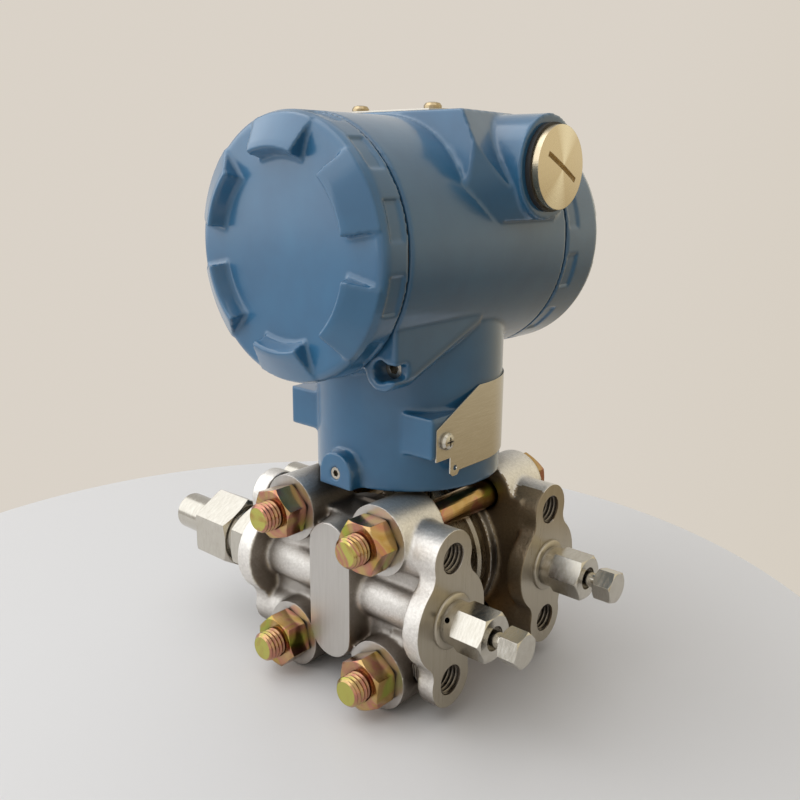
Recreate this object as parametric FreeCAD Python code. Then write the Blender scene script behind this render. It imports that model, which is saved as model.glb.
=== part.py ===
"""Differential pressure transmitter: a die-cast twin-compartment housing on a flanged capsule sensor.

Millimetres, +Z up. The sections below are modelled round the sensor centre, with the two process
ports side by side along Y and each port running along X. The connectors are at -X, the vent valves
at +X, and the front cover faces -Y. save() then moves the whole part so that its origin lies at the
middle of its footprint, on the surface that it stands on.
"""
import FreeCAD, Part
import math
import os

from FreeCAD import Vector, Rotation, Placement

# ---- process flanges ----
PORT_PITCH = 54.0         # between the two process ports
TAP_PITCH = 41.3          # between the two tapped holes of an end face
END_REACH = 42.0          # from the sensor centre to an end face
BOLT_PITCH_X = 40.0       # flange bolts, along the flange
BOLT_PITCH_Z = 46.8       # flange bolts, from top to bottom
PORT_LOBE_R = 16.5        # end plate round the port
TAP_LOBE_R = 9.0          # end plate round a tapped hole
LOBE_BLEND_R = 6.0        # hollow between the lobes
END_PLATE_T = 6.5
BOSS_R = 11.5             # boss round a flange bolt
SPOT_FACE_Y = 37.5        # seat of a nut or bolt head, from the sensor centre
WEB_OUT_Y = 31.0          # outer face of the web
WEB_IN_Y = 18.0           # inner face of the web and the bosses
WEB_HALF_Z = 25.0
RIB_R = 8.5               # half-round rib along the port
PAD_FACE_Y = 39.0         # machined oval pad
PAD_W = 18.0
PAD_H = 47.0
PAD_FLARE = 1.8           # how much wider the pad is at its root
LAND_MARGIN = 2.0         # round land that carries the capsule, past the capsule's edge
PORT_BORE_R = 6.0
PORT_BORE_DEPTH = 14.0
PORT_RING_R = 9.0         # spot ring round the port
PORT_RING_T = 0.8
PASSAGE_R = 3.5
CHAMBER_MARGIN = 1.5      # pressure chamber, past the diaphragm
CHAMBER_DEPTH = 2.0
TAP_HOLE_R = 5.0
TAP_DEPTH = 15.0
CAST_MARK_L = 14.0        # blank oval frame on the web
CAST_MARK_W = 4.8
CAST_MARK_H = 0.5
CAST_MARK_X = 27.5
CAST_MARK_Z = 10.2

# ---- flange bolts ----
BOLT_R = 5.0
BOLT_HOLE_GAP = 0.5
NUT_AF = 16.0
NUT_T = 8.4
HEAD_T = 7.0
STUD_OUT = 5.8            # bolt end past its nut

# ---- sensor ----
CAPSULE_GAP = 0.78        # between the capsule and the flange bolts
CAPSULE_HALF_T = 14.0
CAPSULE_STEP_T = 3.0
DIAPHRAGM_MARGIN = 3.5    # between the diaphragm and its gasket
DIAPHRAGM_T = 0.3
GASKET_MARGIN = 1.0       # between the gasket and the capsule's edge
GASKET_W = 3.0
GASKET_T = 1.2
NECK_TUBE_R = 9.0
NECK_R = 15.9
NECK_HEX_AF = 27.0
NECK_HEX_T = 4.6
NECK_IN = 17.0            # neck length inside the collar
NECK_GAP = 0.1
HEADER_R = 12.0
HEADER_T = 5.0
PIN_R = 0.6
PIN_LEN = 4.0
PIN_COUNT = 8

# ---- vent valves ----
FIT_GAP = 0.05            # between a screwed-in shank and its hole
VENT_COLLAR_R = 7.0
VENT_COLLAR_T = 3.8
VENT_HEX_AF = 14.0
VENT_HEX_L = 11.5
VENT_STEM_R = 2.5
VENT_STEM_GAP = 0.06
VENT_STEM_OUT = 4.3       # bare stem between body and head
VENT_HEAD_AF = 10.0
VENT_HEAD_T = 6.6
VENT_STEM_IN = 12.0
VENT_HOLE_R = 0.9

# ---- process connectors ----
CONN_HEX_AF = 22.0
CONN_HEX_T = 10.4
CONN_NECK_T = 1.8
CONN_THREAD_R = 10.0
CONN_THREAD_L = 12.0
CONN_THREAD_GAP = 0.1
CONN_BORE_R = 4.0
UNION_AF = 24.0
UNION_L = 17.5
UNION_WALL_T = 4.0
NIPPLE_R = 7.0
NIPPLE_BORE_R = 4.5
NIPPLE_GAP = 0.1
NIPPLE_OUT = 20.0         # nipple past the union nut
NIPPLE_COLLAR_R = 9.4
NIPPLE_COLLAR_T = 2.0
UNION_GASKET_T = 1.2

# ---- housing ----
BARREL_Z = 111.6          # barrel axis above the port axis
BARREL_R = 38.6
BARREL_FRONT = 44.0       # front end of the barrel, towards -Y
BARREL_REAR = 33.2
BARREL_BORE_R = 34.0
WALL_FRONT_Y = 2.0        # partition between the two compartments
WALL_T = 4.0
COLLAR_R = 31.5
COLLAR_Z = 35.4
NECK_BORE_TOP = 18.0      # height of the neck thread above the collar's lower edge
COLLAR_CAVITY_R = 25.0
COLLAR_CAVITY_TOP = 68.0
WIRE_HOLE_R = 5.0
WIRE_HOLE_Y = 13.0
PAD_BLOCK_X = 31.5        # side face of the square collar pads
PAD_BLOCK_Y = 25.4
PAD_BLOCK_Z = 48.5
PAD_BLOCK_H = 13.2
LOCK_BOSS_R = 7.0
LOCK_BOSS_Y = 35.8
LOCK_SCREW_Z = 40.0
LOCK_SCREW_R = 2.0
JAM_BOSS_X = 27.0
JAM_BOSS_Z = 79.0
JAM_BOSS_R = 6.0
JAM_BOSS_END_Y = -5.0
JAM_RISE_Y = -36.0        # where the bar's lower edge starts to climb
JAM_RISE = 13.0
JAM_TOP = 17.6            # top of the bar above its screw
JAM_BORE_R = 3.1
JAM_BORE_DEPTH = 12.0
JAM_SLOT_H = 4.5
JAM_SLOT_L = 5.5
BLOCK_RISE = 1.2          # top face above the barrel
BLOCK_FRONT_Y = -12.5
BLOCK_FRONT_X = 29.5      # half width of the top face, from front to rear
BLOCK_WAIST_X = 24.5
BLOCK_WAIST_Y = 24.5
BLOCK_REAR_X = 29.0
BLOCK_REAR_IN = 0.8       # rear face, from the barrel's rear end
BLOCK_FRONT_LEAN = 0.16   # outward lean of each face for a millimetre down
BLOCK_SIDE_LEAN = 0.6
BLOCK_SHEER_X = 31.0      # where the cone round each conduit boss starts
CONE_END_X = 42.0
CONE_LEAN = 1.64          # what the cone's radius gains for a millimetre inwards
CONDUIT_Y = 11.5
CONDUIT_RISE = 23.6       # conduit axis above the barrel axis
CONDUIT_BOSS_R = 15.5
CONDUIT_FACE_X = 44.5
CONDUIT_BORE_R = 9.6
CONDUIT_DEPTH = 10.5
CONDUIT_PASSAGE_R = 4.5
PASSAGE_FROM = (35.0, 8.5, 21.6)
PASSAGE_TO = (18.0, -12.0, 8.4)

# ---- covers ----
FRONT_COVER_L = 10.0
REAR_COVER_L = 20.8
COVER_EDGE_R = 3.0
COVER_WALL_T = 4.0
SKIRT_L = 12.0
SKIRT_T = 3.6
SKIRT_GAP = 0.1
SEAL_T = 1.0
SEAL_OUT_R = 37.6
SEAL_IN_R = 35.0
LUG_COUNT = 6
LUG_ANGLE = 37.0
LUG_IN_R = 26.0
LUG_RIDGE_R = 28.6
LUG_H = 5.2
LUG_DRAFT = 5.0           # degrees that a lug's side leans
PANEL_COUNT = 12
PANEL_ANGLE = 17.0
PANEL_L = 6.0
PANEL_DEPTH = 0.7
PANEL_MARGIN = 1.2

# ---- conduit plug ----
PLUG_HEAD_R = 12.3
PLUG_HEAD_T = 2.4
PLUG_DOME_H = 0.8
PLUG_SLOT_L = 17.0
PLUG_SLOT_W = 1.6
PLUG_SLOT_DEPTH = 1.4
PLUG_SLOT_TURN = 48.0
PLUG_SEAL_R = 13.0
PLUG_SEAL_T = 1.6
PLUG_SHANK_L = 8.0

# ---- plates and small screws ----
PLATE_T = 0.5
TOP_PLATE_HALF_W = 19.0
TOP_PLATE_MARGIN = 1.5    # from the front edge of the block
TOP_PLATE_REAR_Y = 29.0
TOP_SCREW_X = 15.0
TOP_SCREW_MARGIN = 4.5
SMALL_SCREW_R = 1.5
SMALL_HEAD_R = 2.75
SMALL_HEAD_H = 1.9
SMALL_SCREW_L = 5.0
TAG_FLAT_L = 24.0         # straight wing of the tag plate
TAG_WRAP = 72.0           # degrees that the tag plate follows the collar
TAG_WING_LOW_Z = 48.0
TAG_WING_TOP_Z = 58.2
TAG_LOW_Z = 43.0
TAG_TOP_Z = 68.8
TAG_SCREW_Y = -19.5
TAG_SCREW_Z = 54.0
TAG_SCREW_2_TURN = 64.0

# ---- inside the compartments ----
TERM_R = 30.0
TERM_T = 10.0
TERM_SCREW_R = 2.5
TERM_SCREW_PITCH = 14.0
TERM_COUNT = 3
TERM_FIX_X = 24.0
TERM_BAY_W = 10.0
TERM_BAY_H = 18.0
TERM_BAY_DEPTH = 4.0
CLAMP_W = 7.0
CLAMP_H = 10.0
CLAMP_T = 0.8
BOARD_R = 29.0
BOARD_T = 1.6
BOARD_PITCH = 9.0
POST_R = 2.5
POST_X = 22.0
CHIP_SIZES = ((12.0, 10.0, 2.0, -6.0, 6.0), (8.0, 8.0, 1.6, 10.0, -8.0), (6.0, 14.0, 3.0, -14.0, -8.0))

# ---- values that follow ----
PORT_Y = PORT_PITCH / 2
TAP_Z = TAP_PITCH / 2
BOLT_X = BOLT_PITCH_X / 2
BOLT_Z = BOLT_PITCH_Z / 2
BOLT_HOLE_R = BOLT_R + BOLT_HOLE_GAP
CAPSULE_R = math.hypot(BOLT_X, BOLT_Z) - BOLT_R - CAPSULE_GAP
LAND_R = CAPSULE_R + LAND_MARGIN
GASKET_OUT_R = CAPSULE_R - GASKET_MARGIN
GASKET_IN_R = GASKET_OUT_R - GASKET_W
DIAPHRAGM_R = GASKET_IN_R - DIAPHRAGM_MARGIN
CHAMBER_R = DIAPHRAGM_R + CHAMBER_MARGIN
BLOCK_TOP_Z = BARREL_Z + BARREL_R + BLOCK_RISE
BLOCK_REAR_Y = BARREL_REAR - BLOCK_REAR_IN
TOP_PLATE_FRONT_Y = BLOCK_FRONT_Y + TOP_PLATE_MARGIN
TOP_SCREW_Y = BLOCK_FRONT_Y + TOP_SCREW_MARGIN
CONDUIT_Z = BARREL_Z + CONDUIT_RISE
LAND_Y = CAPSULE_HALF_T
PORT_SEAT_X = END_REACH + PORT_RING_T
NECK_HEX_Z = COLLAR_Z - 0.1 - NECK_HEX_T
NECK_TOP_Z = COLLAR_Z + NECK_IN
SHANK_R = PORT_BORE_R - FIT_GAP
SHANK_L = PORT_BORE_DEPTH - 2.0
VENT_BODY_END = PORT_SEAT_X + VENT_COLLAR_T + VENT_HEX_L
VENT_HEAD_X = VENT_BODY_END + VENT_STEM_OUT
VENT_END = VENT_HEAD_X + VENT_HEAD_T
CONN_HEX_END = PORT_SEAT_X + CONN_HEX_T
UNION_START = CONN_HEX_END + CONN_NECK_T
CONN_END = CONN_HEX_END + CONN_THREAD_L
UNION_END = UNION_START + UNION_L
UNION_WALL_X = UNION_END - UNION_WALL_T
NIPPLE_END = UNION_END + NIPPLE_OUT
COVER_FRONT_Y = BARREL_FRONT + SEAL_T
COVER_REAR_Y = BARREL_REAR + SEAL_T
BOTTOM_Z = -(BOLT_Z + BOSS_R)
WALL_REAR_Y = WALL_FRONT_Y + WALL_T
ORIGIN = Vector((VENT_END - NIPPLE_END) / 2, (COVER_REAR_Y + REAR_COVER_L - COVER_FRONT_Y - FRONT_COVER_L) / 2,
                BOTTOM_Z)
X, Y, Z = Vector(1, 0, 0), Vector(0, 1, 0), Vector(0, 0, 1)
CENTRE = Vector(0, 0, 0)


# ---- shared tools ----
def cyl(start, axis, radius, length):
    return Part.makeCylinder(radius, length, start, axis)


def ring(start, axis, outer, inner, length):
    return cyl(start, axis, outer, length).cut(cyl(start, axis, inner, length))


def box(low, high):
    size = high - low
    return Part.makeBox(size.x, size.y, size.z, low)


def fuse(shapes):
    return shapes[0].multiFuse(shapes[1:]).removeSplitter()


def cut(shape, tools):
    return shape.cut(tools)


def turned(shape, axis, degrees, about=CENTRE):
    copy = shape.copy()
    copy.rotate(about, axis, degrees)
    return copy


def prism(points, direction):
    wire = Part.makePolygon(points + [points[0]])
    return Part.Face(wire).extrude(direction)


def lathe(profile, start, axis):
    """Solid of revolution from (radius, distance along axis) pairs."""
    side = Vector(axis.y, axis.z, axis.x)
    points = [start + side * r + axis * d for r, d in profile]
    return Part.Face(Part.makePolygon(points + [points[0]])).revolve(start, axis, 360)


def hexagon(start, axis, across_flats, length, point_dir, chamfer=0.0):
    """Hexagonal bar with one corner towards point_dir; chamfer rounds off both ends' corners."""
    corner_r = across_flats / math.sqrt(3)
    corners = [start + Rotation(axis, 60 * i).multVec(point_dir) * corner_r for i in range(6)]
    bar = prism(corners, axis * length)
    if chamfer <= 0:
        return bar
    flat_r = across_flats / 2
    drop = (corner_r - flat_r) * math.tan(math.radians(30))
    cone = lathe([(0, 0), (flat_r, 0), (corner_r, drop), (corner_r, length - drop * chamfer),
                  (corner_r - (corner_r - flat_r) * chamfer, length), (0, length)], start, axis)
    return bar.common(cone)


def opposite(shape):
    """The same thing on the other process side."""
    return turned(shape, Z, 180)


def mirrored(shape, normal):
    return shape.mirror(CENTRE, normal)


def save(name, shape):
    shape = shape.copy()
    shape.translate(-ORIGIN)
    solids = shape.Solids
    assert solids and shape.isValid(), name
    out = solids[0] if len(solids) == 1 else Part.makeCompound(solids)
    out.exportStep("parts/" + name + ".step")
    print(f"{name:26s} solids {len(solids):2d}  volume {shape.Volume / 1000:8.2f} cm3")


# ---- process flanges ----
def end_plate_face(x):
    """Three-lobed outline of an end face: arcs round the port and the two tapped holes, with hollows."""
    reach_port = PORT_LOBE_R + LOBE_BLEND_R
    reach_tap = TAP_LOBE_R + LOBE_BLEND_R
    dz = (reach_port ** 2 - reach_tap ** 2 + TAP_Z ** 2) / (2 * TAP_Z)
    dy = math.sqrt(reach_port ** 2 - dz ** 2)

    def at(y, z):
        return Vector(x, -PORT_Y + y, z)

    edges = []
    for sy, sz in ((1, 1), (-1, 1), (-1, -1), (1, -1)):
        port_touch = (dy * PORT_LOBE_R / reach_port, dz * PORT_LOBE_R / reach_port)
        tap_touch = (dy * TAP_LOBE_R / reach_tap, TAP_Z + (dz - TAP_Z) * TAP_LOBE_R / reach_tap)
        mid_dir = Vector(0, port_touch[0] + tap_touch[0] - 2 * dy, port_touch[1] + tap_touch[1] - 2 * dz).normalize()
        mid = (dy + mid_dir.y * LOBE_BLEND_R, dz + mid_dir.z * LOBE_BLEND_R)
        edges.append(Part.Arc(at(sy * port_touch[0], sz * port_touch[1]), at(sy * mid[0], sz * mid[1]),
                              at(sy * tap_touch[0], sz * tap_touch[1])).toShape())
    for s in (1, -1):
        edges.append(Part.Arc(at(port_touch[0] * s, port_touch[1]), at(PORT_LOBE_R * s, 0),
                              at(port_touch[0] * s, -port_touch[1])).toShape())
        edges.append(Part.Arc(at(tap_touch[0], tap_touch[1] * s), at(0, (TAP_Z + TAP_LOBE_R) * s),
                              at(-tap_touch[0], tap_touch[1] * s)).toShape())
    return Part.Face(Part.Wire(Part.__sortEdges__(edges)))


def slot_solid(y_root, y_face, width, height, flare):
    """Upright oval with leaning sides, from the web out to its machined face."""
    def outline(y, grow):
        r = width / 2 + grow
        z = (height - width) / 2
        top = Part.Arc(Vector(r, y, z), Vector(0, y, z + r), Vector(-r, y, z)).toShape()
        low = Part.Arc(Vector(-r, y, -z), Vector(0, y, -z - r), Vector(r, y, -z)).toShape()
        sides = [Part.LineSegment(Vector(s * r, y, -z), Vector(s * r, y, z)).toShape() for s in (1, -1)]
        return Part.Wire(Part.__sortEdges__([top, low] + sides))
    return Part.makeLoft([outline(y_root, flare), outline(y_face, 0.0)], True, True)


def cast_mark(x, z):
    """Blank raised oval frame on the web."""
    def oval(width, length):
        r = width / 2
        half = (length - width) / 2
        bar = box(Vector(x - half, -WEB_OUT_Y - CAST_MARK_H, z - r), Vector(x + half, -WEB_OUT_Y, z + r))
        ends = [cyl(Vector(x + s * half, -WEB_OUT_Y - CAST_MARK_H, z), Y, r, CAST_MARK_H) for s in (1, -1)]
        return fuse([bar] + ends)
    rim = 0.8
    return oval(CAST_MARK_W, CAST_MARK_L).cut(oval(CAST_MARK_W - 2 * rim, CAST_MARK_L - 2 * rim))


def process_flange():
    inner_x = END_REACH - END_PLATE_T
    solids = [box(Vector(-inner_x, -WEB_OUT_Y, -WEB_HALF_Z), Vector(inner_x, -WEB_IN_Y, WEB_HALF_Z))]
    solids.append(cyl(Vector(0, -WEB_IN_Y - 1, 0), Y, LAND_R, WEB_IN_Y + 1 - LAND_Y))
    solids.append(slot_solid(-WEB_OUT_Y + 1, -PAD_FACE_Y, PAD_W, PAD_H, PAD_FLARE))
    solids.append(cyl(Vector(-END_REACH + 1, -PORT_Y, 0), X, RIB_R, 2 * END_REACH - 2))
    for s in (1, -1):
        plate = end_plate_face(s * (END_REACH - END_PLATE_T)).extrude(X * s * END_PLATE_T)
        solids.append(plate)
        solids.append(cyl(Vector(s * (END_REACH - 1), -PORT_Y, 0), X * s, PORT_RING_R, PORT_RING_T + 1))
        for t in (1, -1):
            solids.append(cyl(Vector(s * BOLT_X, -SPOT_FACE_Y, t * BOLT_Z), Y, BOSS_R, SPOT_FACE_Y - WEB_IN_Y))
            solids.append(cyl(Vector(s * BOLT_X, -PORT_Y, t * TAP_Z), X * s, TAP_LOBE_R, END_REACH - BOLT_X - 1))
            if s * t < 0:
                solids.append(cast_mark(s * CAST_MARK_X, t * CAST_MARK_Z))
    body = fuse(solids)
    holes = [cyl(Vector(0, -LAND_Y, 0), -Y, CHAMBER_R, CHAMBER_DEPTH)]
    for s in (1, -1):
        holes.append(cyl(Vector(s * (END_REACH + PORT_RING_T), -PORT_Y, 0), X * -s, PORT_BORE_R,
                         PORT_BORE_DEPTH + PORT_RING_T))
        cross_x = CHAMBER_R - PASSAGE_R - 1
        holes.append(cyl(Vector(s * END_REACH, -PORT_Y, 0), X * -s, PASSAGE_R, END_REACH - cross_x))
        holes.append(cyl(Vector(s * cross_x, -PORT_Y, 0), Y, PASSAGE_R, PORT_Y - LAND_Y))
        for t in (1, -1):
            holes.append(cyl(Vector(s * BOLT_X, -SPOT_FACE_Y, t * BOLT_Z), Y, BOLT_HOLE_R, SPOT_FACE_Y))
            holes.append(cyl(Vector(s * END_REACH, -PORT_Y, t * TAP_Z), X * -s, TAP_HOLE_R, TAP_DEPTH))
    return cut(body, holes)


# ---- flange bolts ----
def flange_bolt(x, z):
    shank_l = 2 * SPOT_FACE_Y + NUT_T + STUD_OUT
    shank = cyl(Vector(x, -SPOT_FACE_Y - NUT_T - STUD_OUT, z), Y, BOLT_R, shank_l)
    tip = min(1.0, BOLT_R / 4)
    cone = lathe([(0, 0), (BOLT_R - tip, 0), (BOLT_R, tip), (BOLT_R, shank_l), (0, shank_l)],
                 Vector(x, -SPOT_FACE_Y - NUT_T - STUD_OUT, z), Y)
    head = hexagon(Vector(x, SPOT_FACE_Y, z), Y, NUT_AF, HEAD_T, Z, 1.0)
    return fuse([shank.common(cone), head])


def flange_nut(x, z, turn):
    point = Rotation(Y, turn).multVec(Z)
    start = Vector(x, -SPOT_FACE_Y, z)
    nut = hexagon(start, -Y, NUT_AF, NUT_T, point, 1.0)
    return nut.cut(cyl(start, -Y, BOLT_R + FIT_GAP, NUT_T))


def bolt_places():
    return [(sx * BOLT_X, sz * BOLT_Z) for sz in (1, -1) for sx in (-1, 1)]


# ---- sensor ----
def sensor_capsule():
    half = CAPSULE_HALF_T
    step = CAPSULE_STEP_T
    groove = 1.0
    profile = [(0, -half), (CAPSULE_R, -half), (CAPSULE_R, -half + step), (CAPSULE_R - groove, -half + step + groove),
               (CAPSULE_R - groove, half - step - groove), (CAPSULE_R, half - step), (CAPSULE_R, half), (0, half)]
    disc = lathe(profile, CENTRE, Y)
    top = NECK_HEX_Z
    tube = cyl(Vector(0, 0, 0), Z, NECK_TUBE_R, top)
    body = fuse([disc, tube])
    cuts = []
    for s in (1, -1):
        seat_y = s * half
        cuts.append(ring(Vector(0, seat_y, 0), Y * -s, GASKET_OUT_R, GASKET_IN_R, GASKET_T))
        cuts.append(cyl(Vector(0, seat_y, 0), Y * -s, DIAPHRAGM_R + 0.5, 1.0))
    return cut(body, cuts)


def diaphragm():
    """Thin corrugated disc in the capsule's face."""
    waves = 4
    pitch = DIAPHRAGM_R / (waves + 1)
    face = -CAPSULE_HALF_T + 1.0
    top = [(DIAPHRAGM_R, 0.0)]
    for i in range(waves, 0, -1):
        top.append((i * pitch + pitch / 2, 0.0))
        top.append((i * pitch, 0.25))
    top.append((pitch / 2, 0.0))
    top.append((0.0, 0.0))
    low = [(r, d + DIAPHRAGM_T) for r, d in top]
    profile = [(r, -d) for r, d in reversed(low)] + [(r, -d) for r, d in top]
    return lathe(profile, Vector(0, face, 0), Y)


def sensor_neck():
    hexa = hexagon(Vector(0, 0, NECK_HEX_Z), Z, NECK_HEX_AF, NECK_HEX_T, X, 0.6)
    shank = cyl(Vector(0, 0, NECK_HEX_Z + NECK_HEX_T / 2), Z, NECK_R, NECK_TOP_Z - NECK_HEX_Z - NECK_HEX_T / 2)
    upper = box(Vector(-NECK_R, -NECK_R, COLLAR_Z - 0.1), Vector(NECK_R, NECK_R, NECK_TOP_Z))
    body = fuse([hexa, shank.common(upper)])
    return body.cut(cyl(Vector(0, 0, NECK_TOP_Z - HEADER_T), Z, HEADER_R, HEADER_T))


def sensor_header():
    """Glass-sealed plug with the capsule's pins, set in the top of the neck."""
    base = cyl(Vector(0, 0, NECK_TOP_Z - HEADER_T), Z, HEADER_R - FIT_GAP, HEADER_T)
    circle = HEADER_R * 0.6
    pins = []
    for i in range(PIN_COUNT):
        a = 2 * math.pi * i / PIN_COUNT
        pins.append(cyl(Vector(circle * math.cos(a), circle * math.sin(a), NECK_TOP_Z - 1), Z, PIN_R, PIN_LEN + 1))
    return fuse([base] + pins)


# ---- vent valves ----
def vent_body():
    shank = cyl(Vector(PORT_SEAT_X, -PORT_Y, 0), -X, SHANK_R, SHANK_L)
    collar = cyl(Vector(PORT_SEAT_X, -PORT_Y, 0), X, VENT_COLLAR_R, VENT_COLLAR_T)
    hexa = hexagon(Vector(PORT_SEAT_X + VENT_COLLAR_T, -PORT_Y, 0), X, VENT_HEX_AF, VENT_HEX_L, Y, 1.0)
    body = fuse([shank, collar, hexa])
    bore = cyl(Vector(VENT_BODY_END, -PORT_Y, 0), -X, VENT_STEM_R + VENT_STEM_GAP, VENT_STEM_IN + 1)
    mouth = cyl(Vector(VENT_BODY_END, -PORT_Y, 0), -X, VENT_STEM_R + 1.4, 1.6)
    inlet = cyl(Vector(PORT_SEAT_X - SHANK_L, -PORT_Y, 0), X, 1.5, VENT_BODY_END)
    hole_dir = Rotation(X, 150).multVec(Y)
    hole = cyl(Vector(PORT_SEAT_X + VENT_COLLAR_T / 2, -PORT_Y, 0), hole_dir, VENT_HOLE_R, VENT_COLLAR_R + 1)
    inlet = inlet.common(cyl(Vector(PORT_SEAT_X - SHANK_L, -PORT_Y, 0), X, 2.0, VENT_BODY_END - PORT_SEAT_X + SHANK_L))
    return cut(body, [bore, mouth, inlet, hole])


def vent_stem():
    start = VENT_BODY_END - VENT_STEM_IN
    tip = VENT_STEM_R * 0.8
    stem = lathe([(0, 0), (VENT_STEM_R - tip, 0), (VENT_STEM_R, tip), (VENT_STEM_R, VENT_HEAD_X - start + 0.5),
                  (0, VENT_HEAD_X - start + 0.5)], Vector(start, -PORT_Y, 0), X)
    head = hexagon(Vector(VENT_HEAD_X, -PORT_Y, 0), X, VENT_HEAD_AF, VENT_HEAD_T, Rotation(X, 15).multVec(Y), 1.0)
    return fuse([stem, head])


# ---- process connectors ----
def connector_body():
    shank = cyl(Vector(-PORT_SEAT_X, -PORT_Y, 0), X, SHANK_R, SHANK_L)
    hexa = hexagon(Vector(-PORT_SEAT_X, -PORT_Y, 0), -X, CONN_HEX_AF, CONN_HEX_T, Z, 1.0)
    neck_r = CONN_THREAD_R - 1.2
    thread_r = CONN_THREAD_R - CONN_THREAD_GAP
    spigot = lathe([(0, 0), (neck_r, 0), (neck_r, CONN_NECK_T), (thread_r, CONN_NECK_T + thread_r - neck_r),
                    (thread_r, CONN_THREAD_L - 1), (thread_r - 1, CONN_THREAD_L), (0, CONN_THREAD_L)],
                   Vector(-CONN_HEX_END, -PORT_Y, 0), -X)
    body = fuse([shank, hexa, spigot])
    return body.cut(cyl(Vector(-CONN_END, -PORT_Y, 0), X, CONN_BORE_R, CONN_END))


def union_gasket():
    return ring(Vector(-CONN_END, -PORT_Y, 0), -X, CONN_THREAD_R - 1.2, NIPPLE_BORE_R, UNION_GASKET_T)


def union_nut():
    start = Vector(-UNION_START, -PORT_Y, 0)
    nut = hexagon(start, -X, UNION_AF, UNION_L, Z, 0.35)
    mouth = lathe([(0, 0), (CONN_THREAD_R + 1, 0), (CONN_THREAD_R, 1.0), (CONN_THREAD_R, UNION_L - UNION_WALL_T),
                   (0, UNION_L - UNION_WALL_T)], start, -X)
    return cut(nut, [mouth, cyl(start, -X, NIPPLE_R + NIPPLE_GAP, UNION_L)])


def weld_nipple():
    start = Vector(-CONN_END - UNION_GASKET_T, -PORT_Y, 0)
    length = NIPPLE_END - CONN_END - UNION_GASKET_T
    collar_end = UNION_WALL_X - NIPPLE_GAP - CONN_END - UNION_GASKET_T
    edge = 0.7
    tube = lathe([(NIPPLE_BORE_R, 0), (NIPPLE_COLLAR_R, 0), (NIPPLE_COLLAR_R, min(NIPPLE_COLLAR_T, collar_end)),
                  (NIPPLE_R, min(NIPPLE_COLLAR_T, collar_end)), (NIPPLE_R, length - edge), (NIPPLE_R - edge, length),
                  (NIPPLE_BORE_R, length)], start, -X)
    return tube


# ---- housing ----
def block_outline(depth):
    """Plan of the block at a depth below its top face: each side leans out along its own normal."""
    sides = [(Vector(0, BLOCK_FRONT_Y, 0), Vector(0, -1, 0), BLOCK_FRONT_LEAN)]
    corners = [Vector(BLOCK_FRONT_X, BLOCK_FRONT_Y, 0), Vector(BLOCK_WAIST_X, BLOCK_WAIST_Y, 0),
               Vector(BLOCK_REAR_X, BLOCK_REAR_Y, 0)]
    for a, b in zip(corners, corners[1:]):
        sides.append((a, (b - a).cross(Z).normalize(), BLOCK_SIDE_LEAN))
    sides.append((Vector(0, BLOCK_REAR_Y, 0), Y, 0.0))
    right = []
    for (p, n, lean), (q, m, other) in zip(sides, sides[1:]):
        c, d = n.dot(p) + lean * depth, m.dot(q) + other * depth
        det = n.x * m.y - n.y * m.x
        right.append(Vector((c * m.y - d * n.y) / det, (n.x * d - m.x * c) / det, BLOCK_TOP_Z - depth))
    left = [Vector(-v.x, v.y, v.z) for v in reversed(right)]
    return Part.makePolygon(right + left + [right[0]])


def top_block():
    """Hipped block on the barrel, with a cone round each conduit boss taken into its sides."""
    depth = BLOCK_TOP_Z - CONDUIT_Z + CONDUIT_BOSS_R
    hip = Part.makeLoft([block_outline(depth), block_outline(0.0)], True, True)
    base_z = BLOCK_TOP_Z - depth
    room = [box(Vector(-BLOCK_SHEER_X, -BARREL_FRONT, base_z - 1), Vector(BLOCK_SHEER_X, BARREL_REAR, BLOCK_TOP_Z + 1))]
    flare_l = CONE_END_X - BLOCK_SHEER_X
    wide_r = CONDUIT_BOSS_R + CONE_LEAN * flare_l
    for s in (1, -1):
        room.append(Part.makeCone(wide_r, CONDUIT_BOSS_R, flare_l, Vector(s * BLOCK_SHEER_X, CONDUIT_Y, CONDUIT_Z), X * s))
    return hip.common(room[0].multiFuse(room[1:]))


def cover_lock_bar():
    """Bar under the barrel that holds the cover lock: round below, its lower edge climbing to the rear."""
    start = Vector(JAM_BOSS_X, -BARREL_FRONT, JAM_BOSS_Z)
    bend = Vector(JAM_BOSS_X, JAM_RISE_Y, JAM_BOSS_Z)
    end = Vector(JAM_BOSS_X, JAM_BOSS_END_Y, JAM_BOSS_Z + JAM_RISE)
    top_z = JAM_BOSS_Z + JAM_TOP
    side = [Vector(JAM_BOSS_X - JAM_BOSS_R, y, z) for y, z in ((start.y, start.z), (bend.y, bend.z), (end.y, end.z),
                                                             (end.y, top_z), (start.y, top_z))]
    front = cyl(start, Y, JAM_BOSS_R, bend.y - start.y)
    climb = cyl(bend, end - bend, JAM_BOSS_R, (end - bend).Length)
    return [front, climb, Part.makeSphere(JAM_BOSS_R, bend), prism(side, X * 2 * JAM_BOSS_R)]


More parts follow.
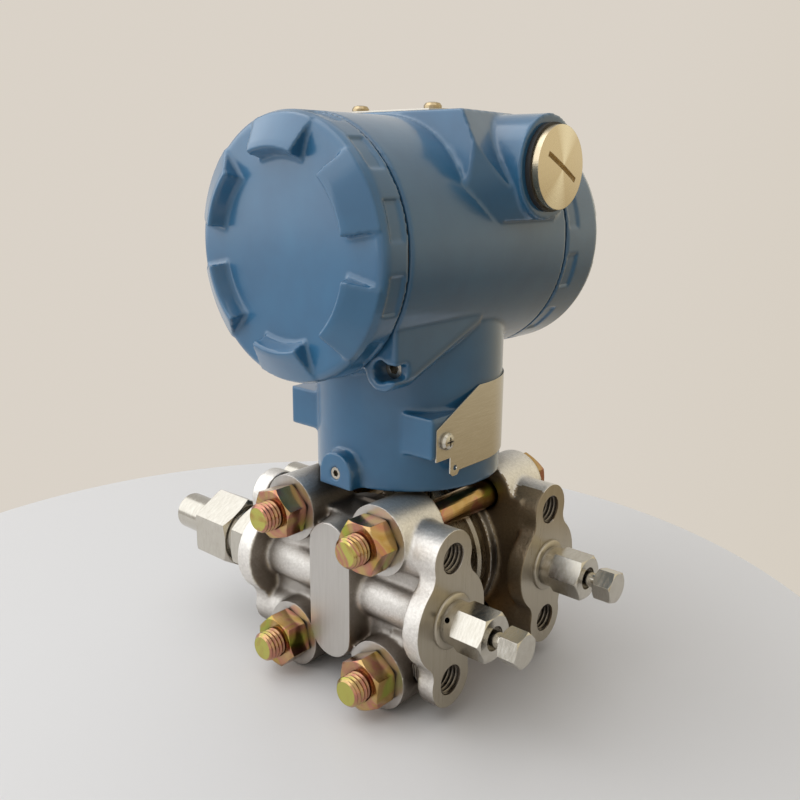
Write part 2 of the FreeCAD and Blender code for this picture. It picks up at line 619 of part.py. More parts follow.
def housing_shell():
    barrel_l = BARREL_FRONT + BARREL_REAR
    parts = [cyl(Vector(0, -BARREL_FRONT, BARREL_Z), Y, BARREL_R, barrel_l)]
    parts.append(cyl(Vector(0, 0, COLLAR_Z), Z, COLLAR_R, BARREL_Z - COLLAR_Z))
    parts.append(top_block())
    for s in (1, -1):
        parts.append(cyl(Vector(s * 8, CONDUIT_Y, CONDUIT_Z), X * s, CONDUIT_BOSS_R, CONDUIT_FACE_X - 8))
        low = Vector(min(0, s * PAD_BLOCK_X), -PAD_BLOCK_Y, PAD_BLOCK_Z)
        high = Vector(max(0, s * PAD_BLOCK_X), 0, PAD_BLOCK_Z + PAD_BLOCK_H)
        parts.append(box(low, high))
    boss = cyl(Vector(0, -LOCK_BOSS_Y, LOCK_SCREW_Z), Y, LOCK_BOSS_R, LOCK_BOSS_Y)
    parts.append(boss.common(box(Vector(-LOCK_BOSS_R, -LOCK_BOSS_Y, COLLAR_Z),
                                 Vector(LOCK_BOSS_R, 0, LOCK_SCREW_Z + LOCK_BOSS_R))))
    parts.append(box(Vector(-LOCK_BOSS_R, -LOCK_BOSS_Y, COLLAR_Z), Vector(LOCK_BOSS_R, 0, LOCK_SCREW_Z)))
    parts.extend(cover_lock_bar())
    return fuse(parts)


def housing_cavities():
    tools = []
    tools.append(cyl(Vector(0, -BARREL_FRONT, BARREL_Z), Y, BARREL_BORE_R, BARREL_FRONT + WALL_FRONT_Y))
    tools.append(cyl(Vector(0, WALL_REAR_Y, BARREL_Z), Y, BARREL_BORE_R, BARREL_REAR - WALL_REAR_Y))
    tools.append(cyl(Vector(0, 0, COLLAR_Z), Z, NECK_R + NECK_GAP, NECK_BORE_TOP))
    cavity_z = COLLAR_Z + NECK_BORE_TOP
    tools.append(cyl(Vector(0, 0, cavity_z), Z, COLLAR_CAVITY_R, COLLAR_CAVITY_TOP - cavity_z))
    tools.append(cyl(Vector(0, WIRE_HOLE_Y, cavity_z), Z, WIRE_HOLE_R, BARREL_Z - BARREL_BORE_R + 8 - cavity_z))
    for s in (1, -1):
        tools.append(cyl(Vector(s * CONDUIT_FACE_X, CONDUIT_Y, CONDUIT_Z), X * -s, CONDUIT_BORE_R, CONDUIT_DEPTH))
        start = Vector(s * PASSAGE_FROM[0], PASSAGE_FROM[1], BARREL_Z + PASSAGE_FROM[2])
        end = Vector(s * PASSAGE_TO[0], PASSAGE_TO[1], BARREL_Z + PASSAGE_TO[2])
        tools.append(cyl(start, end - start, CONDUIT_PASSAGE_R, (end - start).Length))
    return tools


def housing():
    body = housing_shell()
    tools = housing_cavities()
    tools.append(cyl(Vector(0, -LOCK_BOSS_Y, LOCK_SCREW_Z), Y, LOCK_SCREW_R + FIT_GAP, LOCK_BOSS_Y - NECK_R))
    tools.append(cyl(Vector(JAM_BOSS_X, -BARREL_FRONT, JAM_BOSS_Z), Y, JAM_BORE_R, JAM_BORE_DEPTH))
    tools.append(box(Vector(JAM_BOSS_X, -BARREL_FRONT, JAM_BOSS_Z - JAM_SLOT_H / 2),
                     Vector(JAM_BOSS_X + JAM_BOSS_R + 2, -BARREL_FRONT + JAM_SLOT_L, JAM_BOSS_Z + JAM_SLOT_H / 2)))
    for s in (1, -1):
        tools.append(cyl(Vector(s * TOP_SCREW_X, TOP_SCREW_Y, BLOCK_TOP_Z), -Z, SMALL_SCREW_R, SMALL_SCREW_L))
    tools.append(cyl(Vector(PAD_BLOCK_X, TAG_SCREW_Y, TAG_SCREW_Z), -X, SMALL_SCREW_R, SMALL_SCREW_L))
    out = Rotation(Z, TAG_SCREW_2_TURN).multVec(X)
    tools.append(cyl(Vector(0, 0, TAG_SCREW_Z) + out * COLLAR_R, -out, SMALL_SCREW_R, SMALL_SCREW_L))
    for x in (TERM_FIX_X, -TERM_FIX_X):
        tools.append(cyl(Vector(x, WALL_FRONT_Y, BARREL_Z), Y, SMALL_SCREW_R, WALL_T - 1))
    return cut(body, tools)


# ---- covers ----
def cover(length):
    """Screwed cover, built with its rim at the origin and its face towards -Y."""
    e = min(COVER_EDGE_R, length / 2)
    skirt_r = BARREL_BORE_R - SKIRT_GAP
    inner_r = skirt_r - SKIRT_T
    s = e * (1 - math.sqrt(0.5))
    outer = Part.Wire([
        Part.makeLine(Vector(0, -length, 0), Vector(BARREL_R - e, -length, 0)),
        Part.Arc(Vector(BARREL_R - e, -length, 0), Vector(BARREL_R - s, -length + s, 0),
                 Vector(BARREL_R, -length + e, 0)).toShape(),
        Part.makePolygon([Vector(BARREL_R, -length + e, 0), Vector(BARREL_R, 0, 0), Vector(skirt_r, 0, 0),
                          Vector(skirt_r, SKIRT_L - 0.8, 0), Vector(skirt_r - 0.8, SKIRT_L, 0),
                          Vector(inner_r, SKIRT_L, 0), Vector(inner_r, -length + COVER_WALL_T, 0),
                          Vector(0, -length + COVER_WALL_T, 0), Vector(0, -length, 0)])])
    cup = Part.Face(outer).revolve(CENTRE, Y, 360)
    lugs = [turned(lug(length), Y, 360.0 / LUG_COUNT * i) for i in range(LUG_COUNT)]
    panels = [turned(side_panel(), Y, 360.0 / PANEL_COUNT * (i + 0.5)) for i in range(PANEL_COUNT)]
    return fuse([cup] + lugs).cut(panels)


def lug(length):
    """Grip wedge: steep inside, ridge near it, sloping away to nothing at the rim; sides lean outwards."""
    root = -length + 0.5
    section = [(LUG_IN_R, root), (LUG_RIDGE_R - 0.6, -length - LUG_H + 0.5), (LUG_RIDGE_R, -length - LUG_H),
               (LUG_RIDGE_R + 1.6, -length - LUG_H + 0.7), (BARREL_R - 0.6, -length + 0.4),
               (BARREL_R - 1.2, root)]
    points = [Vector(0, y, r) for r, y in section]
    face = Part.Face(Part.makePolygon(points + [points[0]]))
    face.rotate(CENTRE, Y, -LUG_ANGLE / 2)
    wedge = face.revolve(CENTRE, Y, LUG_ANGLE)
    lean = math.radians(LUG_DRAFT)
    for s in (1, -1):
        side = box(Vector(0, -length - LUG_H - 1, 0), Vector(20, -length + 1, BARREL_R + 5))
        side.rotate(Vector(0, -length, 0), Z, math.degrees(lean) + 20)
        if s < 0:
            side = side.mirror(CENTRE, X)
        side.rotate(CENTRE, Y, s * LUG_ANGLE / 2)
        wedge = wedge.cut(side)
    return wedge


def side_panel():
    """Shallow recess in the cover's side, next to the seam."""
    inner = BARREL_R - PANEL_DEPTH
    shell = ring(Vector(0, -PANEL_MARGIN - PANEL_L, 0), Y, BARREL_R + 2, inner, PANEL_L)
    half = math.radians(PANEL_ANGLE / 2)
    reach = BARREL_R + 5
    wedge = prism([Vector(0, -PANEL_MARGIN - PANEL_L, 0),
                   Vector(reach * math.sin(half), -PANEL_MARGIN - PANEL_L, reach * math.cos(half)),
                   Vector(-reach * math.sin(half), -PANEL_MARGIN - PANEL_L, reach * math.cos(half))], Y * PANEL_L)
    return shell.common(wedge)


def at_front(shape):
    shape = shape.copy()
    shape.translate(Vector(0, -COVER_FRONT_Y, BARREL_Z))
    return shape


def at_rear(shape):
    shape = turned(shape, Z, 180)
    shape.translate(Vector(0, COVER_REAR_Y, BARREL_Z))
    return shape


def cover_seal():
    return ring(CENTRE, Y, SEAL_OUT_R, SEAL_IN_R, SEAL_T)


# ---- conduit plug ----
def conduit_plug():
    seat = CONDUIT_FACE_X + PLUG_SEAL_T
    sphere_r = (PLUG_HEAD_R ** 2 + PLUG_DOME_H ** 2) / (2 * PLUG_DOME_H)
    head = cyl(Vector(seat, CONDUIT_Y, CONDUIT_Z), X, PLUG_HEAD_R, PLUG_HEAD_T + PLUG_DOME_H)
    dome = Part.makeSphere(sphere_r, Vector(seat + PLUG_HEAD_T + PLUG_DOME_H - sphere_r, CONDUIT_Y, CONDUIT_Z))
    shank = cyl(Vector(seat + 0.5, CONDUIT_Y, CONDUIT_Z), -X, CONDUIT_BORE_R - FIT_GAP, PLUG_SHANK_L + PLUG_SEAL_T + 0.5)
    body = fuse([head.common(dome), shank])
    top = seat + PLUG_HEAD_T + PLUG_DOME_H
    slot = box(Vector(top - PLUG_SLOT_DEPTH, -PLUG_SLOT_L / 2, -PLUG_SLOT_W / 2),
               Vector(top + 1, PLUG_SLOT_L / 2, PLUG_SLOT_W / 2))
    slot.rotate(CENTRE, X, -PLUG_SLOT_TURN)
    slot.translate(Vector(0, CONDUIT_Y, CONDUIT_Z))
    return body.cut(slot)


def conduit_plug_seal():
    return ring(Vector(CONDUIT_FACE_X, CONDUIT_Y, CONDUIT_Z), X, PLUG_SEAL_R, CONDUIT_BORE_R, PLUG_SEAL_T)


# ---- plates and small screws ----
def pan_screw(seat, out):
    """Cross-recess pan-head screw: head on the seat, shank into it."""
    h = SMALL_HEAD_H
    head = lathe([(0, 0), (SMALL_HEAD_R, 0), (SMALL_HEAD_R, h * 0.45), (SMALL_HEAD_R * 0.8, h * 0.85),
                  (SMALL_HEAD_R * 0.4, h), (0, h)], seat, out)
    shank = cyl(seat + out * 0.3, -out, SMALL_SCREW_R, SMALL_SCREW_L - 0.2)
    body = fuse([head, shank])
    side = Vector(out.y, out.z, out.x)
    other = out.cross(side)
    w, reach, depth = 0.28, 1.5, 0.9
    for a, b in ((side, other), (other, side)):
        corner = seat + out * (h - depth) - a * reach - b * w
        body = body.cut(prism([corner, corner + a * 2 * reach, corner + a * 2 * reach + b * 2 * w, corner + b * 2 * w],
                              out * (depth + 0.2)))
    return body


def top_plate():
    corner = 3.0
    w, f, r = TOP_PLATE_HALF_W, TOP_PLATE_FRONT_Y, TOP_PLATE_REAR_Y
    points = [(-w + corner, f), (w - corner, f), (w, f + corner), (w, r - corner), (w - corner, r), (-w + corner, r),
              (-w, r - corner), (-w, f + corner)]
    plate = prism([Vector(x, y, BLOCK_TOP_Z) for x, y in points], Z * PLATE_T)
    return plate.cut([cyl(Vector(s * TOP_SCREW_X, TOP_SCREW_Y, BLOCK_TOP_Z - 1), Z, SMALL_SCREW_R + 0.1, 3)
                      for s in (1, -1)])


def tag_plate():
    """Thin sheet: a flat wing on the pad, then a tall panel that follows the collar."""
    inner = COLLAR_R
    outer = COLLAR_R + PLATE_T
    flat = box(Vector(inner, -TAG_FLAT_L, TAG_LOW_Z - 3), Vector(outer, 0, TAG_TOP_Z))
    band = ring(Vector(0, 0, TAG_LOW_Z), Z, outer, inner, TAG_TOP_Z - TAG_LOW_Z)
    reach = outer * 2
    turn = math.radians(TAG_WRAP)
    sector = prism([Vector(0, 0, TAG_LOW_Z), Vector(reach, 0, TAG_LOW_Z),
                    Vector(reach * math.cos(turn / 2), reach * math.sin(turn / 2), TAG_LOW_Z),
                    Vector(reach * math.cos(turn), reach * math.sin(turn), TAG_LOW_Z)], Z * (TAG_TOP_Z - TAG_LOW_Z))
    wing = [(-TAG_FLAT_L, TAG_WING_LOW_Z), (-TAG_FLAT_L + 7, TAG_WING_LOW_Z), (-TAG_FLAT_L + 7, TAG_LOW_Z - 0.3),
            (-TAG_FLAT_L + 8.2, TAG_LOW_Z - 1.4), (-TAG_FLAT_L + 10.5, TAG_LOW_Z - 1.4), (-TAG_FLAT_L + 11.7, TAG_LOW_Z),
            (0, TAG_LOW_Z), (0, TAG_TOP_Z), (-3, TAG_TOP_Z), (-TAG_FLAT_L, TAG_WING_TOP_Z)]
    flat = flat.common(prism([Vector(inner, y, z) for y, z in wing], X * PLATE_T))
    plate = fuse([flat, band.common(sector)])
    out = Rotation(Z, TAG_SCREW_2_TURN).multVec(X)
    holes = [cyl(Vector(inner - 1, TAG_SCREW_Y, TAG_SCREW_Z), X, SMALL_SCREW_R + 0.1, 3),
             cyl(Vector(0, 0, TAG_SCREW_Z) + out * (inner - 1), out, SMALL_SCREW_R + 0.1, 3),
             cyl(Vector(inner - 1, -TAG_FLAT_L + 9.4, TAG_LOW_Z + 1.2), X, 0.9, 3)]
    return plate.cut(holes)


def tag_plate_screws():
    out = Rotation(Z, TAG_SCREW_2_TURN).multVec(X)
    flat = pan_screw(Vector(PAD_BLOCK_X + PLATE_T, TAG_SCREW_Y, TAG_SCREW_Z), X)
    wrapped = pan_screw(Vector(0, 0, 0), X)
    wrapped.rotate(CENTRE, Z, TAG_SCREW_2_TURN)
    wrapped.translate(Vector(0, 0, TAG_SCREW_Z) + out * (COLLAR_R + PLATE_T))
    return Part.makeCompound([flat, wrapped])


def set_screw(start, out, radius, length):
    """Socket set screw with its hexagon socket towards out."""
    body = cyl(start, out, radius, length)
    side = Vector(out.y, out.z, out.x)
    socket = hexagon(start + out * (length - radius), out, radius, radius + 1, side)
    return body.cut(socket)


# ---- inside the compartments ----
def terminal_block():
    face = WALL_FRONT_Y - TERM_T
    block = cyl(Vector(0, face, BARREL_Z), Y, TERM_R, TERM_T)
    cuts = []
    for i in range(TERM_COUNT):
        x = (i - (TERM_COUNT - 1) / 2) * TERM_SCREW_PITCH
        cuts.append(box(Vector(x - TERM_BAY_W / 2, face, BARREL_Z - TERM_BAY_H / 2),
                        Vector(x + TERM_BAY_W / 2, face + TERM_BAY_DEPTH, BARREL_Z + TERM_BAY_H / 2)))
        cuts.append(cyl(Vector(x, face, BARREL_Z), Y, TERM_SCREW_R * 0.6, TERM_BAY_DEPTH * 2))
    for x in (TERM_FIX_X, -TERM_FIX_X):
        cuts.append(cyl(Vector(x, face, BARREL_Z), Y, SMALL_SCREW_R + 0.1, TERM_T))
        cuts.append(cyl(Vector(x, face, BARREL_Z), Y, SMALL_HEAD_R + 0.3, TERM_T - SMALL_SCREW_L + 2))
    return cut(block, cuts)


def terminal_screws():
    face = WALL_FRONT_Y - TERM_T + TERM_BAY_DEPTH
    head_t = TERM_BAY_DEPTH / 2
    out = []
    for i in range(TERM_COUNT):
        x = (i - (TERM_COUNT - 1) / 2) * TERM_SCREW_PITCH
        head = cyl(Vector(x, face, BARREL_Z), -Y, TERM_SCREW_R, head_t)
        plate = box(Vector(x - CLAMP_W / 2, face - CLAMP_T, BARREL_Z - CLAMP_H / 2),
                    Vector(x + CLAMP_W / 2, face, BARREL_Z + CLAMP_H / 2))
        shank = cyl(Vector(x, face - CLAMP_T / 2, BARREL_Z), Y, TERM_SCREW_R * 0.6 - FIT_GAP, TERM_BAY_DEPTH)
        slot_w = TERM_SCREW_R * 0.12
        slot = box(Vector(x - TERM_SCREW_R, face - head_t, BARREL_Z - slot_w),
                   Vector(x + TERM_SCREW_R, face - head_t * 0.65, BARREL_Z + slot_w))
        out.append(fuse([head, plate, shank]).cut(slot))
    return Part.makeCompound(out)


def terminal_block_screws():
    seat = WALL_FRONT_Y - SMALL_SCREW_L + 2
    return Part.makeCompound([pan_screw(Vector(x, seat, BARREL_Z), -Y) for x in (TERM_FIX_X, -TERM_FIX_X)])


def board_y(i):
    return WALL_REAR_Y + BOARD_PITCH * (i + 1)


def circuit_board(i):
    """Round board on its two posts, with its larger components."""
    y = board_y(i)
    disc = cyl(Vector(0, y, BARREL_Z), Y, BOARD_R, BOARD_T)
    parts = [disc]
    for w, h, t, x, z in CHIP_SIZES:
        turn = 1 if i == 0 else -1
        parts.append(box(Vector(turn * x - w / 2, y + BOARD_T - 0.01, BARREL_Z + z - h / 2),
                         Vector(turn * x + w / 2, y + BOARD_T + t, BARREL_Z + z + h / 2)))
    holes = [cyl(Vector(s * POST_X, y, BARREL_Z), Y, SMALL_SCREW_R + 0.1, BOARD_T) for s in (1, -1)]
    return cut(fuse(parts), holes)


def board_posts():
    """Hexagon posts: a pair from the partition to the first board and a pair between the boards."""
    out = []
    for s in (1, -1):
        for i in range(2):
            start = WALL_REAR_Y if i == 0 else board_y(0) + BOARD_T
            length = board_y(i) - start
            out.append(cyl(Vector(s * POST_X, start, BARREL_Z), Y, POST_R, length))
    return Part.makeCompound(out)


def board_screws():
    seat = board_y(1) + BOARD_T
    screws = []
    for s in (1, -1):
        head = pan_screw(Vector(s * POST_X, seat, BARREL_Z), Y)
        screws.append(head.common(box(Vector(s * POST_X - 4, board_y(1), BARREL_Z - 4),
                                      Vector(s * POST_X + 4, seat + 4, BARREL_Z + 4))))
    return Part.makeCompound(screws)


def main():
    os.makedirs("parts", exist_ok=True)
    print("housing")
    save("housing", housing())
    save("front_cover", at_front(cover(FRONT_COVER_L)))
    save("rear_cover", at_rear(cover(REAR_COVER_L)))
    save("front_cover_seal", at_front(cover_seal()))
    save("rear_cover_seal", at_rear(cover_seal()))
    save("conduit_plug", conduit_plug())
    save("conduit_plug_seal", conduit_plug_seal())
    save("top_plate", top_plate())
    top_seat = BLOCK_TOP_Z + PLATE_T
    save("top_plate_screws", Part.makeCompound([pan_screw(Vector(s * TOP_SCREW_X, TOP_SCREW_Y, top_seat), Z)
                                                for s in (1, -1)]))
    save("tag_plate", tag_plate())
    save("tag_plate_screws", tag_plate_screws())
    save("housing_lock_screw", set_screw(Vector(0, -NECK_R - NECK_GAP, LOCK_SCREW_Z), -Y, LOCK_SCREW_R,
                                         LOCK_BOSS_Y - NECK_R - NECK_GAP - 0.3))
    save("cover_lock_screw", set_screw(Vector(JAM_BOSS_X, -BARREL_FRONT + JAM_BORE_DEPTH, JAM_BOSS_Z), -Y,
                                       JAM_BORE_R - FIT_GAP, JAM_BORE_DEPTH / 2))
    save("terminal_block", terminal_block())
    save("terminal_screws", terminal_screws())
    save("terminal_block_screws", terminal_block_screws())
    save("power_board", circuit_board(0))
    save("signal_board", circuit_board(1))
    save("board_posts", board_posts())
    save("board_screws", board_screws())
    print("sensor")
    save("sensor_neck", sensor_neck())
    save("sensor_header", sensor_header())
    save("sensor_capsule", sensor_capsule())
    gasket = ring(Vector(0, -LAND_Y, 0), Y, GASKET_OUT_R - FIT_GAP, GASKET_IN_R + FIT_GAP, GASKET_T)
    places = bolt_places()
    save("flange_bolts", Part.makeCompound([flange_bolt(x, z) for x, z in places]))
    save("flange_nuts", Part.makeCompound([flange_nut(x, z, 12 + 17 * i) for i, (x, z) in enumerate(places)]))
    sides = {"high": lambda shape: shape, "low": opposite}
    flange = process_flange()
    for side, place in sides.items():
        print(side + " side")
        flip = (lambda shape: shape) if side == "high" else (lambda shape: mirrored(shape, Y))
        save(side + "_side_flange", flip(flange))
        save(side + "_side_diaphragm", flip(diaphragm()))
        save(side + "_side_gasket", flip(gasket))
        save(side + "_side_vent_body", flip(vent_body()))
        save(side + "_side_vent_stem", flip(vent_stem()))
        save(side + "_side_connector", flip(connector_body()))
        save(side + "_side_union_gasket", flip(union_gasket()))
        save(side + "_side_union_nut", flip(union_nut()))
        save(side + "_side_nipple", flip(weld_nipple()))


main()
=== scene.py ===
import bpy
import bmesh
import math
import numpy
from mathutils import Matrix, Vector


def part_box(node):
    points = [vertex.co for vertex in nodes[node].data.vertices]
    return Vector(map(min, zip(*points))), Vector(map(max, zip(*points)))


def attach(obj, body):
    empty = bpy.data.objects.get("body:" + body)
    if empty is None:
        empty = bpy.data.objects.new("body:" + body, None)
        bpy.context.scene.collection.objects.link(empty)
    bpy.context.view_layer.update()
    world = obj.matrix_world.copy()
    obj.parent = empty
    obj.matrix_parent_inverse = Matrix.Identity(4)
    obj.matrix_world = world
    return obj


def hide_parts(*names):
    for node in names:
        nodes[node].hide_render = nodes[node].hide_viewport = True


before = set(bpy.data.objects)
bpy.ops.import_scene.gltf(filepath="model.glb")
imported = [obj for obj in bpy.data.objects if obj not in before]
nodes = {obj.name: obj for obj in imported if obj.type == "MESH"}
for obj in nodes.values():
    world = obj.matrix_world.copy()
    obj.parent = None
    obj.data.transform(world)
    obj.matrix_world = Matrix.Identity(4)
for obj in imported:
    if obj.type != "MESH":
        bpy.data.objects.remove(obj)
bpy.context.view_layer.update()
mm = 0.001
print("frame loaded:", len(nodes), "nodes")

# The sensor's centre: places on the transmitter are measured from it, in millimetres.
gasketLow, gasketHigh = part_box("high_side_gasket")
sensorCentre = Vector(((gasketLow.x + gasketHigh.x) / 2, 0, (gasketLow.z + gasketHigh.z) / 2))
conduit = {"y": 11.5, "z": 135.2}     # the axis through both cable entries


def at(x, y, z):
    return sensorCentre + Vector((x, y, z)) * mm


def newMaterial(name):
    material = bpy.data.materials.new(name)
    material.use_nodes = True
    tree = material.node_tree
    return material, tree, tree.nodes["Principled BSDF"]


# A socket is fed by another socket or holds a plain value.
def feed(tree, value, socket):
    if hasattr(value, "is_linked"):
        tree.links.new(value, socket)
    else:
        socket.default_value = value


def addNode(tree, kind, inputs=None, **settings):
    node = tree.nodes.new(kind)
    for name, value in settings.items():
        setattr(node, name, value)
    for label, value in (inputs or {}).items():
        feed(tree, value, node.inputs[label])
    return node


def calculate(tree, kind, operation, *values):
    node = addNode(tree, kind, operation=operation)
    for socket, value in zip(node.inputs, values):
        feed(tree, value, socket)
    return node


def newGroup(name, inputs, outputs):
    group = bpy.data.node_groups.new(name, "ShaderNodeTree")
    for label, kind, value in inputs:
        group.interface.new_socket(label, in_out="INPUT", socket_type=kind).default_value = value
    for label in outputs:
        group.interface.new_socket(label, in_out="OUTPUT", socket_type="NodeSocketFloat")
    return group, group.nodes.new("NodeGroupInput"), group.nodes.new("NodeGroupOutput")


def placeGroup(tree, group, inputs):
    return addNode(tree, "ShaderNodeGroup", inputs, node_tree=group)


def mapRange(tree, source, low, high, outLow=0.0, outHigh=1.0):
    node = addNode(tree, "ShaderNodeMapRange")
    for slot, value in enumerate((source, low, high, outLow, outHigh)):
        feed(tree, value, node.inputs[slot])
    return node.outputs[0]


def mixColour(tree, factor, first, second):
    node = addNode(tree, "ShaderNodeMix", data_type="RGBA")
    for slot, value in ((0, factor), (6, first), (7, second)):     # slots 6 and 7 are its colours
        feed(tree, value, node.inputs[slot])
    return node.outputs[2]


def addNoise(tree, place, scale, form):
    return addNode(tree, "ShaderNodeTexNoise", {"Vector": place, "Scale": scale, **form})


grainForm = {"fine": {"Detail": 4.0, "Roughness": 0.65}, "slow": {"Detail": 3.0},
             "pitRim": (0.12, 0.3), "pitPatches": (0.5, 0.62)}


# Fine grain, pits in patches and a slow drift of tone: sprayed paint, blasted castings, moulded plastic.
def grainGroup():
    inputs = [("Scale", "NodeSocketFloat", 900.0), ("Pit Scale", "NodeSocketFloat", 350.0),
              ("Drift Scale", "NodeSocketFloat", 40.0)]
    group, given, made = newGroup("surfaceGrain", inputs, ["Height", "Pits", "Drift"])
    place = addNode(group, "ShaderNodeTexCoord").outputs["Object"]
    fine = addNoise(group, place, given.outputs["Scale"], grainForm["fine"])
    slow = addNoise(group, place, given.outputs["Drift Scale"], grainForm["slow"])
    cells = addNode(group, "ShaderNodeTexVoronoi", {"Vector": place, "Scale": given.outputs["Pit Scale"]})
    spots = mapRange(group, cells.outputs["Distance"], *grainForm["pitRim"])
    patches = mapRange(group, slow.outputs["Fac"], *grainForm["pitPatches"], 1.0, 0.0)
    pits = calculate(group, "ShaderNodeMath", "MAXIMUM", spots, patches)
    group.links.new(fine.outputs["Fac"], made.inputs["Height"])
    group.links.new(pits.outputs[0], made.inputs["Pits"])
    group.links.new(slow.outputs["Fac"], made.inputs["Drift"])
    return group


toolMarkForm = {"fine": {"Detail": 5.0, "Roughness": 0.7}, "streaks": (0.35, 0.7)}


# Tool marks: noise drawn out along the axes whose stretch is below 1.
def toolMarkGroup():
    inputs = [("Stretch", "NodeSocketVector", (1.0, 1.0, 1.0)), ("Scale", "NodeSocketFloat", 300.0)]
    group, given, made = newGroup("toolMarks", inputs, ["Height", "Streaks"])
    place = addNode(group, "ShaderNodeTexCoord").outputs["Object"]
    drawn = calculate(group, "ShaderNodeVectorMath", "MULTIPLY", place, given.outputs["Stretch"])
    fine = addNoise(group, drawn.outputs[0], given.outputs["Scale"], toolMarkForm["fine"])
    streaks = mapRange(group, fine.outputs["Fac"], *toolMarkForm["streaks"])
    group.links.new(fine.outputs["Fac"], made.inputs["Height"])
    group.links.new(streaks, made.inputs["Streaks"])
    return group


cornerForm = {"samples": 6, "shelter": (0.35, 0.9)}


# Where painted shade falls: 1 deep in a corner, 0 on open surface. The radius is in metres.
def cornerGroup():
    group, given, made = newGroup("shelteredCorner", [("Radius", "NodeSocketFloat", 0.001)], ["Corner"])
    sky = addNode(group, "ShaderNodeAmbientOcclusion", {"Distance": given.outputs["Radius"]},
                  samples=cornerForm["samples"])
    corner = mapRange(group, sky.outputs["AO"], *cornerForm["shelter"], 1.0, 0.0)
    group.links.new(corner, made.inputs["Corner"])
    return group


grain = grainGroup()
toolMarks = toolMarkGroup()
corners = cornerGroup()

noiseSpan = (0.3, 0.7)          # most of a noise's values lie between these
toneSpan = (0.35, 0.65)         # the same, for a tone that is to reach both its ends
bevelSamples = 6


def roughen(tree, shader, source, rough):
    tree.links.new(mapRange(tree, source, *noiseSpan, *rough), shader.inputs["Roughness"])


# Tone darkened in corners with painted shade, up to the shade's reach, which is in millimetres.
def shadeCorners(tree, tone, cornerShade):
    sheltered = placeGroup(tree, corners, {"Radius": cornerShade["reach"] * mm}).outputs["Corner"]
    amount = mapRange(tree, sheltered, *cornerShade["span"], 0.0, cornerShade["strength"])
    return mixColour(tree, amount, tone, cornerShade["colour"])


# Edge radii are in millimetres, and a bump is its strength and its depth in millimetres.
def roundedNormal(tree, radius):
    return addNode(tree, "ShaderNodeBevel", {"Radius": radius * mm}, samples=bevelSamples).outputs["Normal"]


def bump(tree, height, strength, distance, under):
    node = addNode(tree, "ShaderNodeBump", {"Strength": strength, "Distance": distance * mm, "Height": height,
                                            "Normal": under})
    return node.outputs["Normal"]


# The paint's corner colour is painted shade: sheltered corners are darkened towards a deep blue.
paint = {"base": (0.026, 0.128, 0.255, 1), "deep": (0.022, 0.108, 0.222, 1), "rough": (0.30, 0.38),
         "grain": {"Scale": 420.0, "Drift Scale": 60.0, "Pit Scale": 500.0}, "peel": (0.07, 0.12),
         "cornerShade": {"reach": 4.0, "span": (0.0, 1.0), "strength": 0.5, "colour": (0.02, 0.06, 0.11, 1)},
         "edgeRound": 0.4,
         "lacquer": {"Coat Weight": 1.0, "Coat Roughness": 0.16, "Specular IOR Level": 0.3}}


def paintMaterial():
    material, tree, shader = newMaterial("bluePaint")
    spray = placeGroup(tree, grain, paint["grain"])
    tone = mixColour(tree, mapRange(tree, spray.outputs["Drift"], *toneSpan), paint["base"], paint["deep"])
    tree.links.new(shadeCorners(tree, tone, paint["cornerShade"]), shader.inputs["Base Color"])
    roughen(tree, shader, spray.outputs["Drift"], paint["rough"])
    peel = bump(tree, spray.outputs["Height"], *paint["peel"], roundedNormal(tree, paint["edgeRound"]))
    tree.links.new(peel, shader.inputs["Normal"])
    for label, value in paint["lacquer"].items():
        shader.inputs[label].default_value = value
    return material


# Two layers of painted shade darken the casting: a brown one near corners and a darker one in deep hollows,
# such as between the flanges.
casting = {"skin": {"Scale": 1100.0, "Drift Scale": 120.0, "Pit Scale": 260.0}, "mottle": 0.5,
           "coarse": {"Scale": 330.0, "Drift Scale": 35.0, "Pit Scale": 90.0}, "rough": (0.42, 0.54),
           "cornerShade": {"reach": 5.0, "span": (0.0, 1.0), "strength": 0.6, "colour": (0.16, 0.135, 0.11, 1)},
           "deepShade": {"reach": 30.0, "span": (0.25, 0.85), "strength": 0.85, "colour": (0.10, 0.07, 0.045, 1)},
           "edgeRound": 0.5, "coarseBump": (0.35, 0.25), "skinBump": (0.8, 0.16), "pitBump": (0.3, 0.12)}
castTones = {
    "cast": {"name": "blastedCasting", "base": (0.84, 0.81, 0.77, 1), "dark": (0.56, 0.53, 0.49, 1)},
    # The shaded copy, for faces that look towards the sensor, is darker and browner: painted shade and
    # painted reflection of the dark capsule.
    "castShaded": {"name": "shadedCasting", "base": (0.36, 0.29, 0.20, 1), "dark": (0.22, 0.17, 0.11, 1)},
}


def castMaterial(tones):
    material, tree, shader = newMaterial(tones["name"])
    skin = placeGroup(tree, grain, casting["skin"])
    coarse = placeGroup(tree, grain, casting["coarse"])
    mottle = mapRange(tree, skin.outputs["Height"], *toneSpan, 0.0, casting["mottle"])
    tone = mixColour(tree, mottle, tones["base"], tones["dark"])
    for shade in ("cornerShade", "deepShade"):
        tone = shadeCorners(tree, tone, casting[shade])
    tree.links.new(tone, shader.inputs["Base Color"])
    shader.inputs["Metallic"].default_value = 1.0
    roughen(tree, shader, coarse.outputs["Drift"], casting["rough"])
    under = roundedNormal(tree, casting["edgeRound"])
    rolling = bump(tree, coarse.outputs["Height"], *casting["coarseBump"], under)
    fine = bump(tree, skin.outputs["Height"], *casting["skinBump"], rolling)
    tree.links.new(bump(tree, skin.outputs["Pits"], *casting["pitBump"], fine), shader.inputs["Normal"])
    return material
